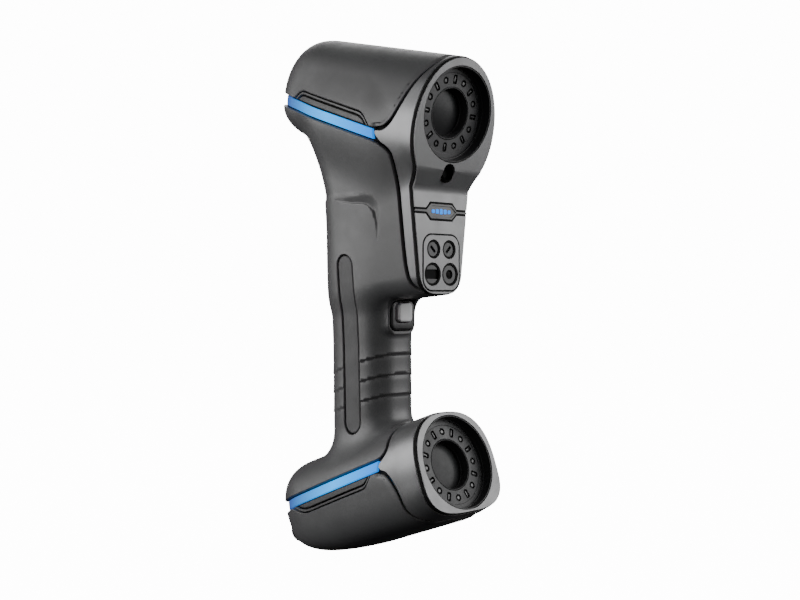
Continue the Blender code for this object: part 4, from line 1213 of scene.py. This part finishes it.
# ---- rear keys ----
def make_keypad():
    rear = lambda x, y, z: y > 10
    places = {name: facing_rear(edge_of_body((0, 0, z), (0, 1, 0)), z) for name, z in KEY_ROWS.items()}
    holes = [[round_hole(place, KEY_R + 0.4, rear)] for place in places.values()]
    skin("rear_keypad_fine", "grip", 0.2, [keypad_distance(0.6)], holes, cell=0.9, rim=0.3, wall=2.4,
         **KEYPAD_AREA)
    cap = [(0, -KEY_STEM), (KEY_R, -KEY_STEM), (KEY_R, 0.35), (KEY_R - 0.15, 0.7), (KEY_R - 0.5, 0.95),
           (KEY_R - 1.0, 1.08), (2.2, 0.98), (0, 0.92)]
    ring = [(1.35, 0.65), (1.9, 0.65), (1.9, 3), (1.35, 3)]
    up = [(-1.9, -0.9), (0, 1.0), (1.9, -0.9), (1.45, -1.35), (0, 0.1), (-1.45, -1.35)]
    for name, place in places.items():
        key = turned(name + "_fine", "trigger", place, cap, 64)
        if name == "rear_key_main":
            mark = turned("cutter", "dark", place, ring, 48)
        else:
            mark = block(place, up[::-1] if name == "rear_key_up" else [(x, -y) for x, y in up], 0.65, 3)
        cut(key, mark)
        ride(key, body=name.removeprefix("rear_"))


# ---- connector ----
def make_socket(place):
    """A knurled locking collar round a recess with seven contacts."""
    length, r = SOCKET_LENGTH, SOCKET_R
    profile = [(0, -9), (r - 0.5, -9), (r - 0.5, 0.6), (r - 0.2, 1.0), (r - 0.2, 2.6), (r - 0.7, 3.0),
               (r - 0.7, 4.0), (r, 4.4), (r, length - 0.9), (r - 0.25, length - 0.4), (r - 0.8, length),
               (5.6, length), (5.2, length - 0.5), (5.2, -7), (0, -7)]
    collar = turned("cable_socket_fine", "dark", None, profile)
    grooves = bmesh.new()
    groove = levels(pillow(0.5, 0.32, 0.2, 3), ((0, 5.3), (0, length - 1.8)))
    for number in range(24):
        at = Matrix.Rotation(2 * pi * number / 24, 4, "Z") @ Matrix.Translation((r + 0.15, 0, 0))
        stacked_bm(groove, grooves, at)
    cut(collar, from_bmesh("cutter", grooves, "dark"))
    collar.data.transform(Matrix.Scale(MM, 4) @ place @ Matrix.Scale(1 / MM, 4))
    ride(soften(collar, 0.08, 2, 40))
    insert = [(0, -6.6), (4.5, -6.6), (4.5, 2.2), (4.2, 2.5), (0, 2.5)]
    ride(turned("socket_insert", "black", place, insert, 48), "socket_pins")
    pins = bmesh.new()
    pin = levels(pillow(0.42, 0.42, 0.41, 4), ((0, 2.0), (0, 4.6), (0.12, 5.0), (0.3, 5.2)))
    for x, y in [(2.7 * cos(pi * i / 3), 2.7 * sin(pi * i / 3)) for i in range(6)] + [(0, 0)]:
        stacked_bm(pin, pins, place @ Matrix.Translation((x, y, 0)))
    ride(from_bmesh("socket_contacts", pins, "alloy"))


# ---- carried-over CAD nodes ----
CARRIED = {
    "black": ("head_led_board", "base_led_board"),
    "board": ("head_camera_board", "base_camera_board", "main_board", "key_board"),
    "alloy": ("spine_frame", "laser_module_left", "laser_module_right", "projector_module",
              "colour_camera_module"),
    "steel": ("trigger_spring", "board_screw_1", "board_screw_2", "board_screw_3", "board_screw_4"),
    "dark": ("trigger_switch",),
}


def finish_carried():
    for finish, names in CARRIED.items():
        for name in names:
            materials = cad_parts[name].data.materials
            materials.clear()
            materials.append(material_for(finish))


# ---- camera, lights and floor ----
CAMERA_AT = (-0.4696, -0.4977, 0.0290)
CAMERA_AZIMUTH, CAMERA_PITCH, CAMERA_LENS = radians(44.63), radians(-0.24), 51.75
AMBIENT, BACKDROP = 0.018, 14.0
FLOOR_HALF = 6
# name: where, target, width and height, power, all in metres and watts
LAMPS = {
    "side_box": ((-0.95, 0.68, 0.24), (0, 0, 0.02), (1.2, 0.65), 13.6),
    "high_box": ((-0.52, 0.72, 0.77), (0, 0, 0.05), (0.6, 0.45), 1.6),
    "fill_box": ((-0.70, -0.90, 0.35), (0, 0, 0.02), (0.6, 0.6), 1.0),
    "front_box": ((0.72, -0.80, 0.40), (0, 0, 0.02), (0.9, 0.8), 12.5),
    "rear_box": ((0.75, 0.7, 0.75), (0, 0, 0.02), (0.9, 0.6), 5.0),
    "top_box": ((-0.1, -0.1, 1.1), (0, 0, 0), (0.5, 0.5), 1.0),
}


def stand(name, data, where, turn):
    """Put a camera or a lamp in the scene."""
    obj = bpy.data.objects.new(name, data)
    bpy.context.collection.objects.link(obj)
    obj.location, obj.rotation_euler = where, turn
    return obj


def make_camera_and_lamps():
    data = bpy.data.cameras.new("photo_camera")
    data.lens, data.sensor_width = CAMERA_LENS, 36.0
    turn = (pi / 2 + CAMERA_PITCH, 0, -CAMERA_AZIMUTH)
    bpy.context.scene.camera = stand("photo_camera", data, CAMERA_AT, turn)
    for name, (where, target, (wide, high), power) in LAMPS.items():
        data = bpy.data.lights.new(name, "AREA")
        data.shape = "RECTANGLE"
        data.size, data.size_y, data.energy = wide, high, power
        stand(name, data, where, (Vector(where) - Vector(target)).to_track_quat("Z", "Y").to_euler())


def make_world():
    """A weak ambient light that the camera sees as a bright backdrop."""
    world = bpy.data.worlds.new("studio")
    bpy.context.scene.world = world
    world.use_nodes = True
    nodes, links = world.node_tree.nodes, world.node_tree.links
    back, seen = nodes["Background"], nodes.new("ShaderNodeBackground")
    for node, colour, strength in ((back, (0.95, 0.96, 1.0, 1), AMBIENT), (seen, (1, 1, 1, 1), BACKDROP)):
        node.inputs["Color"].default_value = colour
        node.inputs["Strength"].default_value = strength
    path, mix = nodes.new("ShaderNodeLightPath"), nodes.new("ShaderNodeMixShader")
    links.new(path.outputs["Is Camera Ray"], mix.inputs["Fac"])
    links.new(back.outputs[0], mix.inputs[1])
    links.new(seen.outputs[0], mix.inputs[2])
    links.new(mix.outputs[0], nodes["World Output"].inputs["Surface"])


def make_floor():
    """A pale floor as bright as the backdrop, which neither lights the object nor shows in it."""
    bm = bmesh.new()
    corners = [(-1, -1), (1, -1), (1, 1), (-1, 1)]
    bm.faces.new([bm.verts.new((x * FLOOR_HALF, y * FLOOR_HALF, cad_box[0][2])) for x, y in corners])
    mesh = bpy.data.meshes.new("floor")
    bm.to_mesh(mesh)
    bm.free()
    nodes = Nodes("floor")
    nodes.shade({"Base Color": (0.25, 0.25, 0.25, 1), "Emission Color": (1, 1, 1, 1),
                 "Emission Strength": BACKDROP, "Roughness": nodes.mapped(nodes.noise(3.0, 3.0), 0.55, 0.65)})
    mesh.materials.append(nodes.material)
    floor = bpy.data.objects.new("floor", mesh)
    bpy.context.collection.objects.link(floor)
    floor.visible_diffuse = floor.visible_glossy = False


def main():
    make_camera_and_lamps()
    make_world()
    make_floor()
    socket = socket_place()
    make_shells(socket)
    make_strips()
    make_vents()
    make_pads()
    make_shadow_liners()
    make_front_plates()
    make_badge()
    make_sensor()
    make_laser_plate()
    make_camera("head", HEAD, True)
    make_camera("base", BASE, False)
    make_trigger()
    make_keypad()
    make_socket(socket)
    finish_carried()


main()
